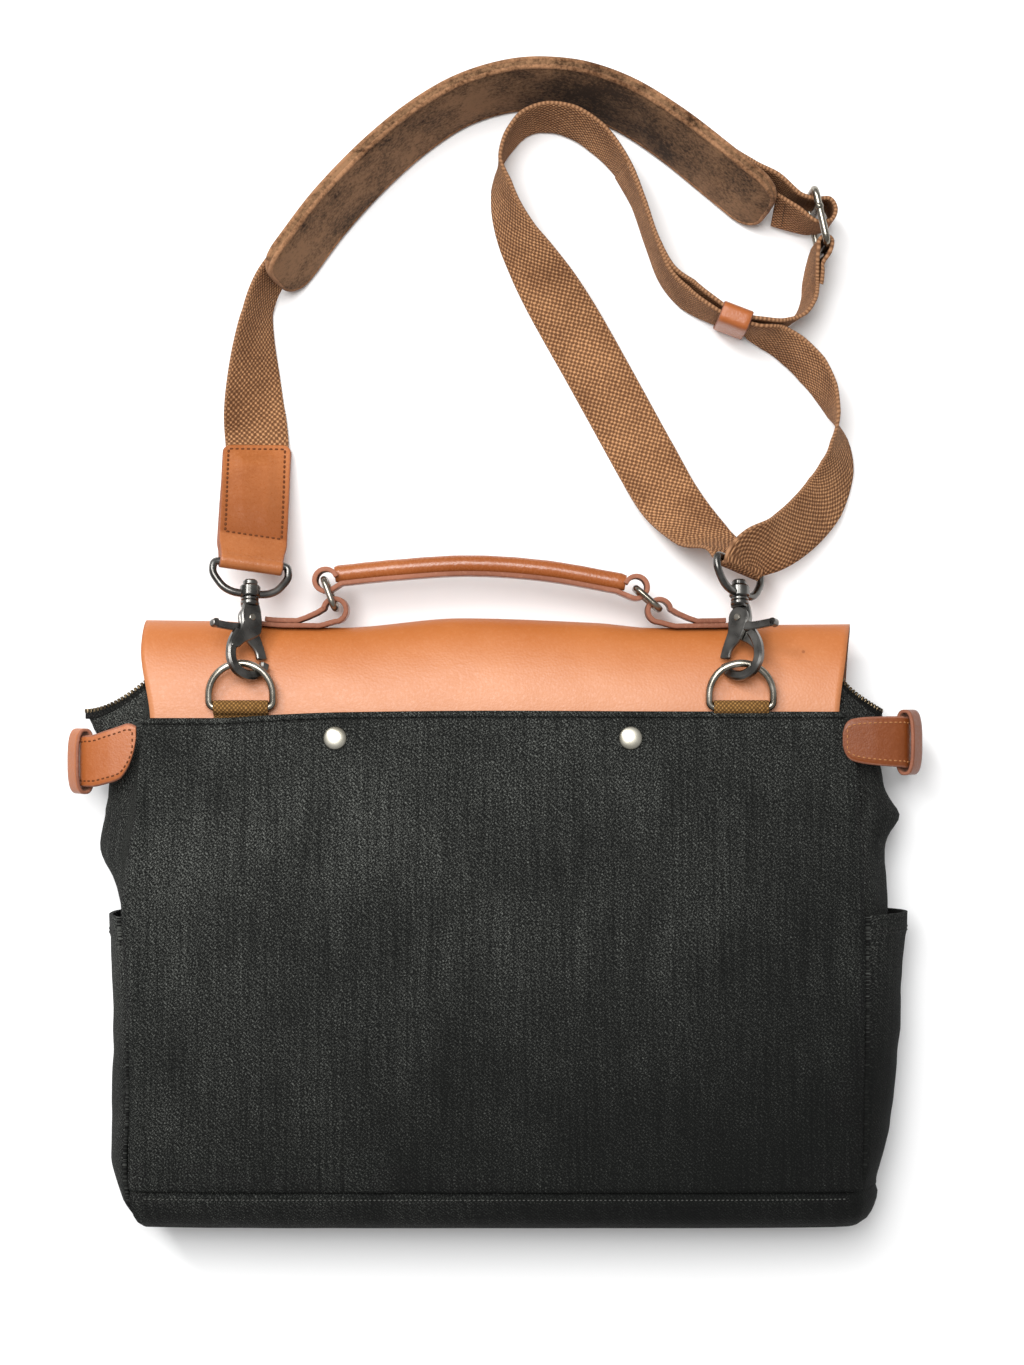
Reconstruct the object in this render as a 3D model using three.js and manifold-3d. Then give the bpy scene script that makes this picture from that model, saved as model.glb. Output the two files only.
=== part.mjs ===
// Laptop bag of canvas and leather, lying on its front with its back up.
// Millimetres. X runs across the bag, Y from its base to its handle, Z up from the surface it lies on.
import * as THREE from 'three';
import { mergeVertices } from 'three/addons/utils/BufferGeometryUtils.js';
import Module from 'manifold-3d';

const wasm = await Module();
wasm.setup();

// Sheet thicknesses and the clearance between neighbouring pieces
const CANVAS = 2;
const LEATHER = 2;
const WEBBING = 1.8;
const CLEARANCE = 0.4;

// Body: a row for each section from the base to the mouth. back and front are heights, seam and side are
// the X of the back edges and of the middle of each gusset, dip is how far the gusset's middle hangs back.
const BODY_SECTIONS = [
  { y: -197, back: 58, front: 24, seamLeft: -196, seamRight: 200, sideLeft: -200, sideRight: 205, dip: 0 },
  { y: -191, back: 72, front: 8, seamLeft: -204, seamRight: 206, sideLeft: -208, sideRight: 214, dip: 0 },
  { y: -178, back: 80.5, front: 0.6, seamLeft: -210, seamRight: 210, sideLeft: -214, sideRight: 219, dip: 0 },
  { y: -160, back: 81.9, front: 0, seamLeft: -211, seamRight: 211, sideLeft: -216, sideRight: 217, dip: 0 },
  { y: -120, back: 82.4, front: 0, seamLeft: -209, seamRight: 211, sideLeft: -217, sideRight: 225, dip: 0 },
  { y: -72, back: 80.2, front: 0, seamLeft: -209, seamRight: 212, sideLeft: -217, sideRight: 229, dip: 0 },
  { y: -58, back: 79.3, front: 2.6, seamLeft: -210, seamRight: 212, sideLeft: -218, sideRight: 229, dip: 0 },
  { y: -10, back: 75.6, front: 2.6, seamLeft: -215, seamRight: 212, sideLeft: -220, sideRight: 232, dip: 0 },
  { y: 25, back: 71.4, front: 2.6, seamLeft: -213, seamRight: 212, sideLeft: -233, sideRight: 230, dip: 0 },
  { y: 45, back: 68.2, front: 2.6, seamLeft: -210, seamRight: 212, sideLeft: -230, sideRight: 238, dip: 2 },
  { y: 62, back: 63, front: 2.6, seamLeft: -207, seamRight: 211, sideLeft: -223, sideRight: 227, dip: 4 },
  { y: 75, back: 59.4, front: 2.6, seamLeft: -206, seamRight: 209, sideLeft: -218, sideRight: 222, dip: 8 },
  { y: 100, back: 55, front: 2.8, seamLeft: -203, seamRight: 206, sideLeft: -222, sideRight: 224, dip: 18 },
  { y: 112, back: 52.6, front: 5, seamLeft: -200, seamRight: 204, sideLeft: -236, sideRight: 231, dip: 22 },
  { y: 128, back: 48, front: 9, seamLeft: -196, seamRight: 200, sideLeft: -242, sideRight: 230, dip: 26 },
];
const SEAM_DROP = 5;
const HEM_DROP = 2;
const GUSSET_FULLNESS = 0.72;
const WALL_STEPS = 7;
const GUSSET_STEPS = 6;

// Back panel: height of its outer face along Y, and the Y of its bottom seam and top hem
const PANEL_HEIGHTS = [
  { at: -173, is: 84.3 }, { at: -120, is: 85 }, { at: -40, is: 81.4 }, { at: 30, is: 73.5 },
  { at: 70, is: 66.8 }, { at: 102, is: 63.7 },
];
const PANEL_LEFT = [
  { at: -173, is: -209 }, { at: -100, is: -207.5 }, { at: -10, is: -213.5 }, { at: 55, is: -206.5 },
  { at: 102, is: -206 },
];
const PANEL_RIGHT = [
  { at: -173, is: 209.5 }, { at: -10, is: 211 }, { at: 60, is: 210 }, { at: 102, is: 203.5 },
];
const PANEL_SEAM_Y = -173;
const PANEL_HEM_Y = 102;

// Flap: tucked end, start of the round nose, end of the front, height of the nose and its reach by X
const FLAP_TUCK_Y = 75;
const FLAP_TUCK_HEIGHT = 62.4;
const FLAP_NOSE_Y = 100;
const FLAP_HEIGHT = 58;
const FLAP_END_Y = -54;
const FLAP_CORNER = 34;
const FLAP_REACH = [
  { at: -207, is: 158.2 }, { at: -160, is: 157.4 }, { at: -125, is: 153.8 }, { at: -92, is: 153.6 },
  { at: -20, is: 159.2 }, { at: 60, is: 156.4 }, { at: 95, is: 153.4 }, { at: 130, is: 153.6 },
  { at: 165, is: 155.2 }, { at: 212, is: 155.8 },
];
const FLAP_EDGES = [
  { at: 0, left: -201, right: 200.5 }, { at: 25, left: -201.5, right: 201 }, { at: 70, left: -208, right: 206.8 },
  { at: 110, left: -206.5, right: 212 }, { at: 190, left: -206, right: 210 }, { at: 340, left: -204, right: 206 },
];
const FLAP_NOSE_STEPS = 11;
const FLAP_STEPS = 12;

// Side pockets: mouth and foot along Y, and how far the middle of the mouth and foot stands off the gusset
const POCKETS = [
  { name: 'side_pocket_left', side: -1, mouth: -15, foot: -164, mouthStand: 7.6, footStand: 8 },
  { name: 'side_pocket_right', side: 1, mouth: -14, foot: -164, mouthStand: 9.6, footStand: 7 },
];
const POCKET_STEPS = 8;

// Side tabs: ribbon stations from the sewn end out over the gusset and down its side
const TAB_WIDTH = 30;
const TAB_THICK = 3;
const SIDE_TABS = [
  {
    name: 'side_tab_left',
    stations: [
      { x: -205.5, y: 86, z: 66.2, width: 25 }, { x: -211, y: 84.5, z: 66, width: 29 },
      { x: -226, y: 80, z: 64.6, width: 30 }, { x: -238, y: 77, z: 60.6, width: 30 },
      { x: -243.4, y: 75.5, z: 52, width: 30 }, { x: -244.6, y: 75, z: 40, width: 30 },
      { x: -242, y: 75, z: 20, width: 30 },
    ],
  },
  {
    name: 'side_tab_right',
    stations: [
      { x: 203.5, y: 88, z: 66.2, width: 21 }, { x: 208, y: 88, z: 66, width: 27 },
      { x: 224, y: 87, z: 64.6, width: 30 }, { x: 238, y: 86, z: 60.6, width: 30 },
      { x: 243.4, y: 86, z: 52, width: 30 }, { x: 244.6, y: 86, z: 40, width: 30 },
      { x: 242, y: 86, z: 20, width: 30 },
    ],
  },
];
const SIDE_KEEPER = { inside: 34.4, room: 7.4, leather: 2, band: 12, lean: 55 };
const SIDE_KEEPERS = [
  { name: 'side_keeper_left', side: -1, x: -242.2, y: 76, z: 54.6 },
  { name: 'side_keeper_right', side: 1, x: 242.2, y: 86, z: 54.6 },
];

// Domed rivets on the back panel
const RIVET = { radius: 6.8, dome: 3.2, rim: 0.8 };
const RIVETS = [
  { name: 'rivet_left', x: -93, y: 88.7 },
  { name: 'rivet_right', x: 79, y: 88.7 },
];

// D-rings: outline of the wire's centre, wire radius, and the webbing tab round the bar
const RING_WIRE = 2.2;
const D_RING = { half: 18.65, bow: 7, barY: 106.6, barZ: 62.8, rise: 4 };
const D_TAB = { width: 32, tuckY: 96.5, ply: 1.5, thick: 2.3 };

// Trigger hooks, in a frame with the lever's pin at the origin, B along the hook to its eye and C out of
// its face. The hook slopes down to the eye and is turned about its length, so that it links the D-ring.
const HOOK_SLOPE = 16;
const HOOK_ROLL = 38;
const HOOK_PLATE = { from: 0.3, to: 3.1 };
const LEVER_PLATE = { from: -2.8, to: 0 };
const HOOK_PIN = 1.5;
const HOOK_POST = 2.4;
const HOOK_WIRE = { across: 2.3, deep: 2.7 };
const HOOK_BOWL = [
  { a: -9.4, b: -12.5 }, { a: -11.9, b: -19.5 }, { a: -11.7, b: -26.6 }, { a: -8.2, b: -32.2 },
  { a: -1.4, b: -34.6 }, { a: 5.6, b: -32.8 }, { a: 9.8, b: -28.8 }, { a: 10.4, b: -25.8 },
];
const EYE_WIRE = 2.3;
const EYE = { half: 22.2, barB: 33.5, footB: 14.6, hub: 6.1, hubFrom: 12.9, hubTo: 19.6 };
const HOOKS = [
  { side: 'left', x: -143.6, y: 158.6, z: 56.4, turned: false, eyeRoll: 0, ringX: -145.6 },
  { side: 'right', x: 143.4, y: 158.6, z: 56.4, turned: true, eyeRoll: 51, ringX: 145.4 },
];

// Handle: centre line of the grip, its end loops, the rings and the anchors on the flap's nose
const HANDLE_Z = 30;
const GRIP_RADIUS = 5.3;
const GRIP_LINE = [
  { x: -95.2, y: 185.2 }, { x: -60, y: 188.8 }, { x: -15, y: 191.4 }, { x: 30, y: 188.4 }, { x: 77.5, y: 180.2 },
];
const HANDLE_LOOP = { outer: 7.7, inner: 5.2, width: 20 };
const ANCHOR_LOOP = { outer: 7.9, inner: 5.2, width: 20 };
const ANCHOR_THICK = 4.4;
const HANDLE_RING = { wire: 1.8, link: 18.5, half: 13.4 };
const HANDLE_ENDS = [
  { side: 'left', loopX: -100.2, loopY: 181.6, barX: -101.4, barY: 182.2, lean: -69.3, anchorTo: -139 },
  { side: 'right', loopX: 83.6, loopY: 177.4, barX: 83.4, barY: 176.8, lean: -41.5, anchorTo: 139.5 },
];

// Shoulder strap. Each row is a point on the webbing's centre line and the direction from one edge of the
// webbing to the other: azimuth in plan from +X, lift above the horizontal, in degrees.
const STRAP_WIDTH = 38;
const STRAP_LEFT = [
  { x: -143.6, y: 239.8, z: 18.3, azimuth: 180, lift: 0 }, { x: -143.6, y: 251.9, z: 11.2, azimuth: 180, lift: 0 },
  { x: -143.6, y: 262.6, z: 4.9, azimuth: 180, lift: 0 }, { x: -144.4, y: 273.4, z: 4.8, azimuth: 180, lift: 10 },
  { x: -145.2, y: 285, z: 8.6, azimuth: -179, lift: 24 }, { x: -145.2, y: 304, z: 13.2, azimuth: -176, lift: 40 },
  { x: -144.4, y: 325, z: 17, azimuth: 180, lift: 57 }, { x: -142, y: 343, z: 19.4, azimuth: 169, lift: 70 },
  { x: -136, y: 359, z: 21.6, azimuth: 152, lift: 72 },
];
const STRAP_TO_SLIDER = [
  { x: 149, y: 425, z: 24.4, azimuth: 58, lift: 74 }, { x: 166, y: 418, z: 25, azimuth: 64, lift: 80 },
  { x: 180, y: 408.6, z: 25.2, azimuth: 64, lift: 88 }, { x: 189.4, y: 406.4, z: 25.2, azimuth: 64, lift: 90 },
  { x: 197.6, y: 406.4, z: 25.2, azimuth: 64, lift: 90 }, { x: 201, y: 400.6, z: 25.2, azimuth: 64, lift: 90 },
  { x: 198.6, y: 394.2, z: 25.2, azimuth: 64, lift: 90 }, { x: 190, y: 392.6, z: 25.2, azimuth: 64, lift: 88 },
  { x: 178.4, y: 397.8, z: 24, azimuth: 64, lift: 78 }, { x: 166.5, y: 403.6, z: 22, azimuth: 64, lift: 72 },
];
const STRAP_RIGHT = [
  { x: 199, y: 368.4, z: 25.2, azimuth: -15, lift: 90 }, { x: 199.8, y: 378.6, z: 25.2, azimuth: -15, lift: 90 },
  { x: 198.8, y: 383.2, z: 25.2, azimuth: -15, lift: 90 }, { x: 194.8, y: 384.8, z: 25.2, azimuth: -15, lift: 90 },
  { x: 191.4, y: 382.2, z: 25.2, azimuth: -15, lift: 90 }, { x: 190.6, y: 377.6, z: 25, azimuth: -15, lift: 89 },
  { x: 189.6, y: 370, z: 23.4, azimuth: -15, lift: 86 }, { x: 188.5, y: 359, z: 21, azimuth: -20, lift: 82 },
  { x: 187.6, y: 350, z: 20.4, azimuth: -28, lift: 82 }, { x: 182.6, y: 340.6, z: 20.6, azimuth: -42, lift: 85 },
  { x: 172.4, y: 335.2, z: 21.2, azimuth: 80, lift: 89 }, { x: 158, y: 335.4, z: 22.8, azimuth: 78, lift: 88 },
  { x: 142.5, y: 338.6, z: 23.2, azimuth: 71, lift: 89 }, { x: 130.9, y: 345.4, z: 22.4, azimuth: 64, lift: 84 },
  { x: 116.6, y: 355.1, z: 20, azimuth: 53, lift: 74 }, { x: 104, y: 365.5, z: 20, azimuth: 36, lift: 77 },
  { x: 94, y: 384.3, z: 20.2, azimuth: 23, lift: 79 }, { x: 85.3, y: 409.4, z: 20.2, azimuth: 22, lift: 79 },
  { x: 75.6, y: 429.4, z: 20, azimuth: 33, lift: 75 }, { x: 61, y: 446.6, z: 20, azimuth: 48, lift: 73 },
  { x: 45.6, y: 456.5, z: 20, azimuth: 66, lift: 72 }, { x: 30.6, y: 459.1, z: 20, azimuth: 92, lift: 74 },
  { x: 17.8, y: 455.5, z: 20, azimuth: 123, lift: 78 }, { x: 7.9, y: 444.1, z: 20.2, azimuth: 145, lift: 83 },
  { x: 3, y: 432, z: 20.2, azimuth: 171, lift: 90 }, { x: 3.6, y: 418.4, z: 19.6, azimuth: 8, lift: 74 },
  { x: 6.8, y: 403.6, z: 18.6, azimuth: 12, lift: 64 }, { x: 12.9, y: 389, z: 17, azimuth: 24, lift: 54 },
  { x: 22.4, y: 373.4, z: 13.9, azimuth: 29, lift: 40 }, { x: 33.4, y: 356, z: 9.6, azimuth: 29, lift: 24 },
  { x: 50.4, y: 328, z: 3.4, azimuth: 29, lift: 5 }, { x: 70.6, y: 292, z: 2.2, azimuth: 28, lift: 2 },
  { x: 91, y: 255, z: 2.4, azimuth: 27, lift: 2 }, { x: 105.4, y: 229.6, z: 9.4, azimuth: 24, lift: -10 },
  { x: 123, y: 209, z: 26, azimuth: 20, lift: -30 }, { x: 137.4, y: 198.8, z: 40.4, azimuth: -8, lift: -40 },
  { x: 140.2, y: 190.2, z: 44.7, azimuth: -18.8, lift: -48.3 },
  { x: 141.1, y: 187.6, z: 46.2, azimuth: -18.8, lift: -48.3 },
  { x: 143.4, y: 186.8, z: 48.3, azimuth: -18.8, lift: -48.3 },
  { x: 145.7, y: 188.4, z: 49.7, azimuth: -18.8, lift: -48.3 },
  { x: 146.6, y: 191.6, z: 49.7, azimuth: -18.8, lift: -48.3 },
  { x: 153, y: 197.4, z: 46.6, azimuth: -36, lift: -46 }, { x: 167, y: 203.6, z: 40, azimuth: -52, lift: -42 },
  { x: 183, y: 215.4, z: 30, azimuth: -50, lift: -38 }, { x: 197, y: 231.6, z: 20.6, azimuth: -38, lift: -40 },
  { x: 204.8, y: 250, z: 18.6, azimuth: -16, lift: -54 },
  { x: 205.6, y: 266, z: 19.6, azimuth: -2, lift: -70 }, { x: 202.6, y: 281, z: 20.6, azimuth: -160, lift: -88 },
  { x: 198, y: 294.4, z: 20, azimuth: -156, lift: -76 }, { x: 189.6, y: 308, z: 19.4, azimuth: -142, lift: -68 },
  { x: 177.6, y: 320, z: 19.2, azimuth: -128, lift: -68 }, { x: 165.4, y: 327.6, z: 19.8, azimuth: -114, lift: -72 },
  { x: 153.4, y: 331.4, z: 22.4, azimuth: -108, lift: -86 }, { x: 141.3, y: 335.2, z: 23.2, azimuth: -107, lift: -89 },
  { x: 129, y: 341, z: 22.4, azimuth: -116, lift: -84 }, { x: 113.2, y: 351, z: 20, azimuth: -127, lift: -74 },
  { x: 101.2, y: 363.2, z: 20, azimuth: -144, lift: -77 }, { x: 91.4, y: 383, z: 20.2, azimuth: -157, lift: -79 },
  { x: 82.7, y: 408.2, z: 20.2, azimuth: -158, lift: -79 }, { x: 74.6, y: 425.4, z: 20, azimuth: -152, lift: -76 },
];
const STRAP_STEPS = 2;

// Shoulder pad: a row for each section, with its width and thickness
const PAD_SECTIONS = [
  { x: -128.5, y: 361, z: 24, azimuth: 138, lift: 62, width: 30, thick: 3.4 },
  { x: -125, y: 365.4, z: 25, azimuth: 137, lift: 62, width: 46, thick: 7 },
  { x: -117.6, y: 375.6, z: 25.8, azimuth: 135, lift: 63, width: 55, thick: 9 },
  { x: -98.3, y: 401, z: 26.8, azimuth: 132, lift: 66, width: 56, thick: 9.4 },
  { x: -70.8, y: 430, z: 27.4, azimuth: 130, lift: 68, width: 56, thick: 9.4 },
  { x: -44.6, y: 452, z: 27.7, azimuth: 123, lift: 70, width: 56, thick: 9.4 },
  { x: -20.3, y: 466.8, z: 27.8, azimuth: 112, lift: 71, width: 56, thick: 9.4 },
  { x: 4.7, y: 475, z: 27.8, azimuth: 101, lift: 71, width: 56, thick: 9.4 },
  { x: 24, y: 477, z: 27.7, azimuth: 91, lift: 70, width: 56, thick: 9.4 },
  { x: 49.6, y: 474.4, z: 27.6, azimuth: 78, lift: 69, width: 56, thick: 9.4 },
  { x: 75.7, y: 465.4, z: 27.4, azimuth: 66, lift: 68, width: 56, thick: 9.4 },
  { x: 104, y: 447.8, z: 26.9, azimuth: 56, lift: 66, width: 56, thick: 9.4 },
  { x: 130.6, y: 427, z: 26.2, azimuth: 52, lift: 63, width: 56, thick: 9.2 },
  { x: 148, y: 412.6, z: 25.4, azimuth: 51, lift: 60, width: 55, thick: 8.8 },
  { x: 156, y: 406, z: 24.8, azimuth: 50, lift: 60, width: 46, thick: 7 },
  { x: 160, y: 402.8, z: 24.2, azimuth: 50, lift: 60, width: 30, thick: 3.4 },
];
const PAD_SIDES = 12;
const PAD_SEWN = { from: 2, to: 12, offset: 6.2 };

// Slider, keeper and leather end of the strap
const SLIDER = { x: 191.8, y: 396, z: 25.2, half: 16.2, height: 22.8, turn: -77.1, barAt: -5.2, barRadius: 2 };
const KEEPER = { x: 142, y: 337.1, z: 23.2, turn: 159, lean: 0, inside: 41, room: 10.6, leather: 2, band: 18.5 };
const END_TAB = { foldWidth: 37.4, foldLength: 8, width: 41, length: 83, slope: -30.5, slot: 2.8, slotDepth: 34 };

// Colours of the materials
const COLOURS = {
  canvas: { color: 0x2f302f, roughness: 0.95, metalness: 0 },
  leather: { color: 0xc07a45, roughness: 0.55, metalness: 0 },
  webbing: { color: 0x86603d, roughness: 0.9, metalness: 0 },
  pad: { color: 0x6a5039, roughness: 0.95, metalness: 0 },
  nickel: { color: 0xa09a8e, roughness: 0.3, metalness: 1 },
  gunmetal: { color: 0x46443f, roughness: 0.35, metalness: 1 },
};

const bag = new THREE.Group();

function addMesh(name, geometry, colour, parent = bag) {
  const mesh = new THREE.Mesh(geometry, new THREE.MeshStandardMaterial(COLOURS[colour]));
  mesh.name = name;
  parent.add(mesh);
  return mesh;
}

const radians = THREE.MathUtils.degToRad;
const point = (x, y, z) => new THREE.Vector3(x, y, z);

// Smooth value of a short table of { at, is } rows
function along(rows, at, column = 'is') {
  const last = rows.length - 1;
  if (at <= rows[0].at) return rows[0][column];
  if (at >= rows[last].at) return rows[last][column];
  const i = rows.findIndex((row) => row.at > at) - 1;
  const t = (at - rows[i].at) / (rows[i + 1].at - rows[i].at);
  const eased = t * t * (3 - 2 * t) * 0.5 + t * 0.5;
  return rows[i][column] + (rows[i + 1][column] - rows[i][column]) * eased;
}

// Closed surface from vertices and triangles, turned so that its faces point out
function closedGeometry(vertices, triangles) {
  let volume = 0;
  for (const [a, b, c] of triangles) {
    volume += vertices[a].dot(vertices[b].clone().cross(vertices[c]));
  }
  const outward = volume < 0 ? triangles.map(([a, b, c]) => [a, c, b]) : triangles;
  const geometry = new THREE.BufferGeometry();
  geometry.setAttribute('position', new THREE.Float32BufferAttribute(vertices.flatMap((v) => v.toArray()), 3));
  geometry.setIndex(outward.flat());
  return geometry;
}

// Solid through rings of equal point count, capped at both ends or closed into a loop
function loft(rings, closed = false) {
  const count = rings[0].length;
  const vertices = rings.flat();
  const triangles = [];
  const spans = closed ? rings.length : rings.length - 1;
  for (let i = 0; i < spans; i++) {
    const from = i * count;
    const to = ((i + 1) % rings.length) * count;
    for (let j = 0; j < count; j++) {
      const k = (j + 1) % count;
      triangles.push([from + j, from + k, to + k], [from + j, to + k, to + j]);
    }
  }
  if (!closed) {
    const centre = (ring) => ring.reduce((sum, p) => sum.add(p), point(0, 0, 0)).divideScalar(count);
    const lastRing = (rings.length - 1) * count;
    vertices.push(centre(rings[0]), centre(rings[rings.length - 1]));
    for (let j = 0; j < count; j++) {
      const k = (j + 1) % count;
      triangles.push([vertices.length - 2, k, j], [vertices.length - 1, lastRing + j, lastRing + k]);
    }
  }
  return closedGeometry(vertices, triangles);
}

// Sheet between two grids of points, one for each face
function sheet(outer, inner) {
  const rows = outer.length;
  const columns = outer[0].length;
  const vertices = [...outer.flat(), ...inner.flat()];
  const under = rows * columns;
  const triangles = [];
  const quad = (a, b, c, d) => triangles.push([a, b, c], [a, c, d]);
  for (let i = 0; i < rows - 1; i++) {
    for (let j = 0; j < columns - 1; j++) {
      const a = i * columns + j;
      quad(a, a + 1, a + columns + 1, a + columns);
      quad(under + a, under + a + columns, under + a + columns + 1, under + a + 1);
    }
  }
  for (let j = 0; j < columns - 1; j++) {
    const b = (rows - 1) * columns + j;
    quad(j + 1, j, under + j, under + j + 1);
    quad(b, b + 1, under + b + 1, under + b);
  }
  for (let i = 0; i < rows - 1; i++) {
    const a = i * columns;
    const b = a + columns - 1;
    quad(a, a + columns, under + a + columns, under + a);
    quad(b + columns, b, under + b, under + b + columns);
  }
  return closedGeometry(vertices, triangles);
}

function manifoldOf(geometry) {
  const plain = geometry.clone();
  plain.deleteAttribute('normal');
  plain.deleteAttribute('uv');
  const merged = mergeVertices(plain, 1e-4);
  const mesh = new wasm.Mesh({
    numProp: 3,
    vertProperties: new Float32Array(merged.attributes.position.array),
    triVerts: new Uint32Array(merged.index.array),
  });
  return new wasm.Manifold(mesh);
}

function geometryOf(manifold) {
  const mesh = manifold.getMesh();
  const geometry = new THREE.BufferGeometry();
  geometry.setAttribute('position', new THREE.BufferAttribute(new Float32Array(mesh.vertProperties), 3));
  geometry.setIndex(new THREE.BufferAttribute(new Uint32Array(mesh.triVerts), 1));
  return geometry;
}

function joined(...geometries) {
  return geometryOf(geometries.map(manifoldOf).reduce((whole, part) => whole.add(part)));
}

function cutBy(geometry, ...tools) {
  return geometryOf(tools.map(manifoldOf).reduce((rest, tool) => rest.subtract(tool), manifoldOf(geometry)));
}

function extruded(shape, from, to) {
  const settings = { depth: to - from, bevelEnabled: false, curveSegments: 6 };
  return new THREE.ExtrudeGeometry(shape, settings).translate(0, 0, from);
}

function shapeOf(points) {
  return new THREE.Shape(points.map(([x, y]) => new THREE.Vector2(x, y)));
}

function cylinder(radius, from, to, sides = 12) {
  const solid = new THREE.CylinderGeometry(radius, radius, to - from, sides);
  return solid.rotateX(Math.PI / 2).translate(0, 0, (from + to) / 2);
}

// Wire bent along a closed outline in the XY plane
function wireLoop(outline, radius, sides = 8) {
  const rings = outline.map((p, i) => {
    const next = outline[(i + 1) % outline.length];
    const before = outline[(i + outline.length - 1) % outline.length];
    const heading = point(next[0] - before[0], next[1] - before[1], 0).normalize();
    const ring = [];
    for (let k = 0; k < sides; k++) {
      const turn = (k / sides) * 2 * Math.PI;
      const out = radius * Math.cos(turn);
      ring.push(point(p[0] + heading.y * out, p[1] - heading.x * out, radius * Math.sin(turn)));
    }
    return ring;
  });
  return loft(rings, true);
}

// Outline of a rectangle with round corners
function roundedOutline(halfX, halfY, radius, steps = 3) {
  const outline = [];
  for (let corner = 0; corner < 4; corner++) {
    const x = (corner === 0 || corner === 3 ? 1 : -1) * (halfX - radius);
    const y = (corner < 2 ? 1 : -1) * (halfY - radius);
    for (let k = 0; k <= steps; k++) {
      const turn = ((corner + k / steps) * Math.PI) / 2;
      outline.push([x + radius * Math.cos(turn), y + radius * Math.sin(turn)]);
    }
  }
  return outline;
}

// Leather band closed round a strap: a rounded ring of the given inside, extruded along the strap
function bandLoop(keeper) {
  const outside = roundedOutline(keeper.room / 2 + keeper.leather, keeper.inside / 2 + keeper.leather, 3.6, 3);
  const inside = roundedOutline(keeper.room / 2, keeper.inside / 2, 1.8, 3);
  const shape = shapeOf(outside);
  shape.holes.push(new THREE.Path(inside.map(([x, y]) => new THREE.Vector2(x, y))));
  return extruded(shape, -keeper.band / 2, keeper.band / 2);
}

// Ribbon frames: a smooth centre line through the rows, with the direction across the webbing
function edgeDirection(row) {
  const flat = Math.cos(radians(row.lift));
  const turn = radians(row.azimuth);
  return point(flat * Math.cos(turn), flat * Math.sin(turn), Math.sin(radians(row.lift)));
}

function ribbonFrames(rows, steps) {
  const line = new THREE.CatmullRomCurve3(rows.map((row) => point(row.x, row.y, row.z)), false, 'centripetal');
  const across = rows.map(edgeDirection);
  const frames = [];
  const total = (rows.length - 1) * steps;
  for (let i = 0; i <= total; i++) {
    const whole = Math.min(Math.floor(i / steps), rows.length - 2);
    const part = i / steps - whole;
    const heading = line.getTangent(i / total);
    const edge = across[whole].clone().lerp(across[whole + 1], part);
    edge.addScaledVector(heading, -edge.dot(heading)).normalize();
    const face = heading.clone().cross(edge);
    frames.push({ centre: line.getPoint(i / total), edge, face });
  }
  return frames;
}

function ribbon(rows, steps, width, thickness) {
  const rings = ribbonFrames(rows, steps).map(({ centre, edge, face }, i) => {
    const row = rows[Math.min(Math.round(i / steps), rows.length - 1)];
    const half = (row.width ?? width) / 2;
    return [[1, 1], [-1, 1], [-1, -1], [1, -1]].map(([e, f]) =>
      centre.clone().addScaledVector(edge, e * half).addScaledVector(face, (f * thickness) / 2));
  });
  return loft(rings);
}

// Body

function crown(x, left, right) {
  const middle = (left + right) / 2;
  return SEAM_DROP * Math.abs((x - middle) / ((right - left) / 2)) ** 6;
}

function bodyRing(section, inset, lift) {
  const { y, back, front, seamLeft, seamRight, sideLeft, sideRight, dip } = section;
  const outline = [];
  const wall = (from, to, height) => {
    for (let k = 0; k < WALL_STEPS; k++) {
      const x = from + ((to - from) * k) / WALL_STEPS;
      outline.push([x, height(x), 0]);
    }
  };
  const gusset = (seam, side, from, to) => {
    for (let k = 0; k < GUSSET_STEPS; k++) {
      const t = k / GUSSET_STEPS;
      const swell = Math.sin(Math.PI * t) ** GUSSET_FULLNESS;
      outline.push([seam + (side - seam) * swell, from + (to - from) * t, -dip * swell]);
    }
  };
  const edge = back - SEAM_DROP;
  wall(seamLeft, seamRight, (x) => back - crown(x, seamLeft, seamRight));
  gusset(seamRight, sideRight, edge, front);
  wall(seamRight, seamLeft, () => front);
  gusset(seamLeft, sideLeft, front, edge);
  return outline.map(([x, z, hang], i) => {
    const next = outline[(i + 1) % outline.length];
    const before = outline[(i + outline.length - 1) % outline.length];
    const run = Math.hypot(next[0] - before[0], next[1] - before[1]);
    const outX = -(next[1] - before[1]) / run;
    const outZ = (next[0] - before[0]) / run;
    return point(x - outX * inset, y + hang + lift, z - outZ * inset);
  });
}

function bodyShell() {
  const outside = BODY_SECTIONS.map((section) => bodyRing(section, 0, 0));
  const inside = BODY_SECTIONS.map((section, i) => bodyRing(section, CANVAS, i < 3 ? CANVAS : 0));
  return loft([...outside, ...inside.reverse()]);
}

// Back panel

function panelHeight(x, y) {
  const towardHem = THREE.MathUtils.smoothstep(y, 20, PANEL_HEM_Y);
  const drop = (SEAM_DROP + (HEM_DROP - SEAM_DROP) * towardHem) / SEAM_DROP;
  return along(PANEL_HEIGHTS, y) - crown(x, along(PANEL_LEFT, y), along(PANEL_RIGHT, y)) * drop * 0.94;
}

function backPanel() {
  const rows = 12;
  const columns = 12;
  const grid = (drop) => Array.from({ length: rows + 1 }, (_, i) => {
    const y = PANEL_SEAM_Y + ((PANEL_HEM_Y - PANEL_SEAM_Y) * i) / rows;
    const left = along(PANEL_LEFT, y);
    const right = along(PANEL_RIGHT, y);
    return Array.from({ length: columns + 1 }, (_unused, j) => {
      const x = left + ((right - left) * j) / columns;
      return point(x, y, panelHeight(x, y) - drop);
    });
  });
  return sheet(grid(0), grid(CANVAS));
}

// Flap: outer and inner profile points for one X, listed from the tucked end to the front edge

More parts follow.
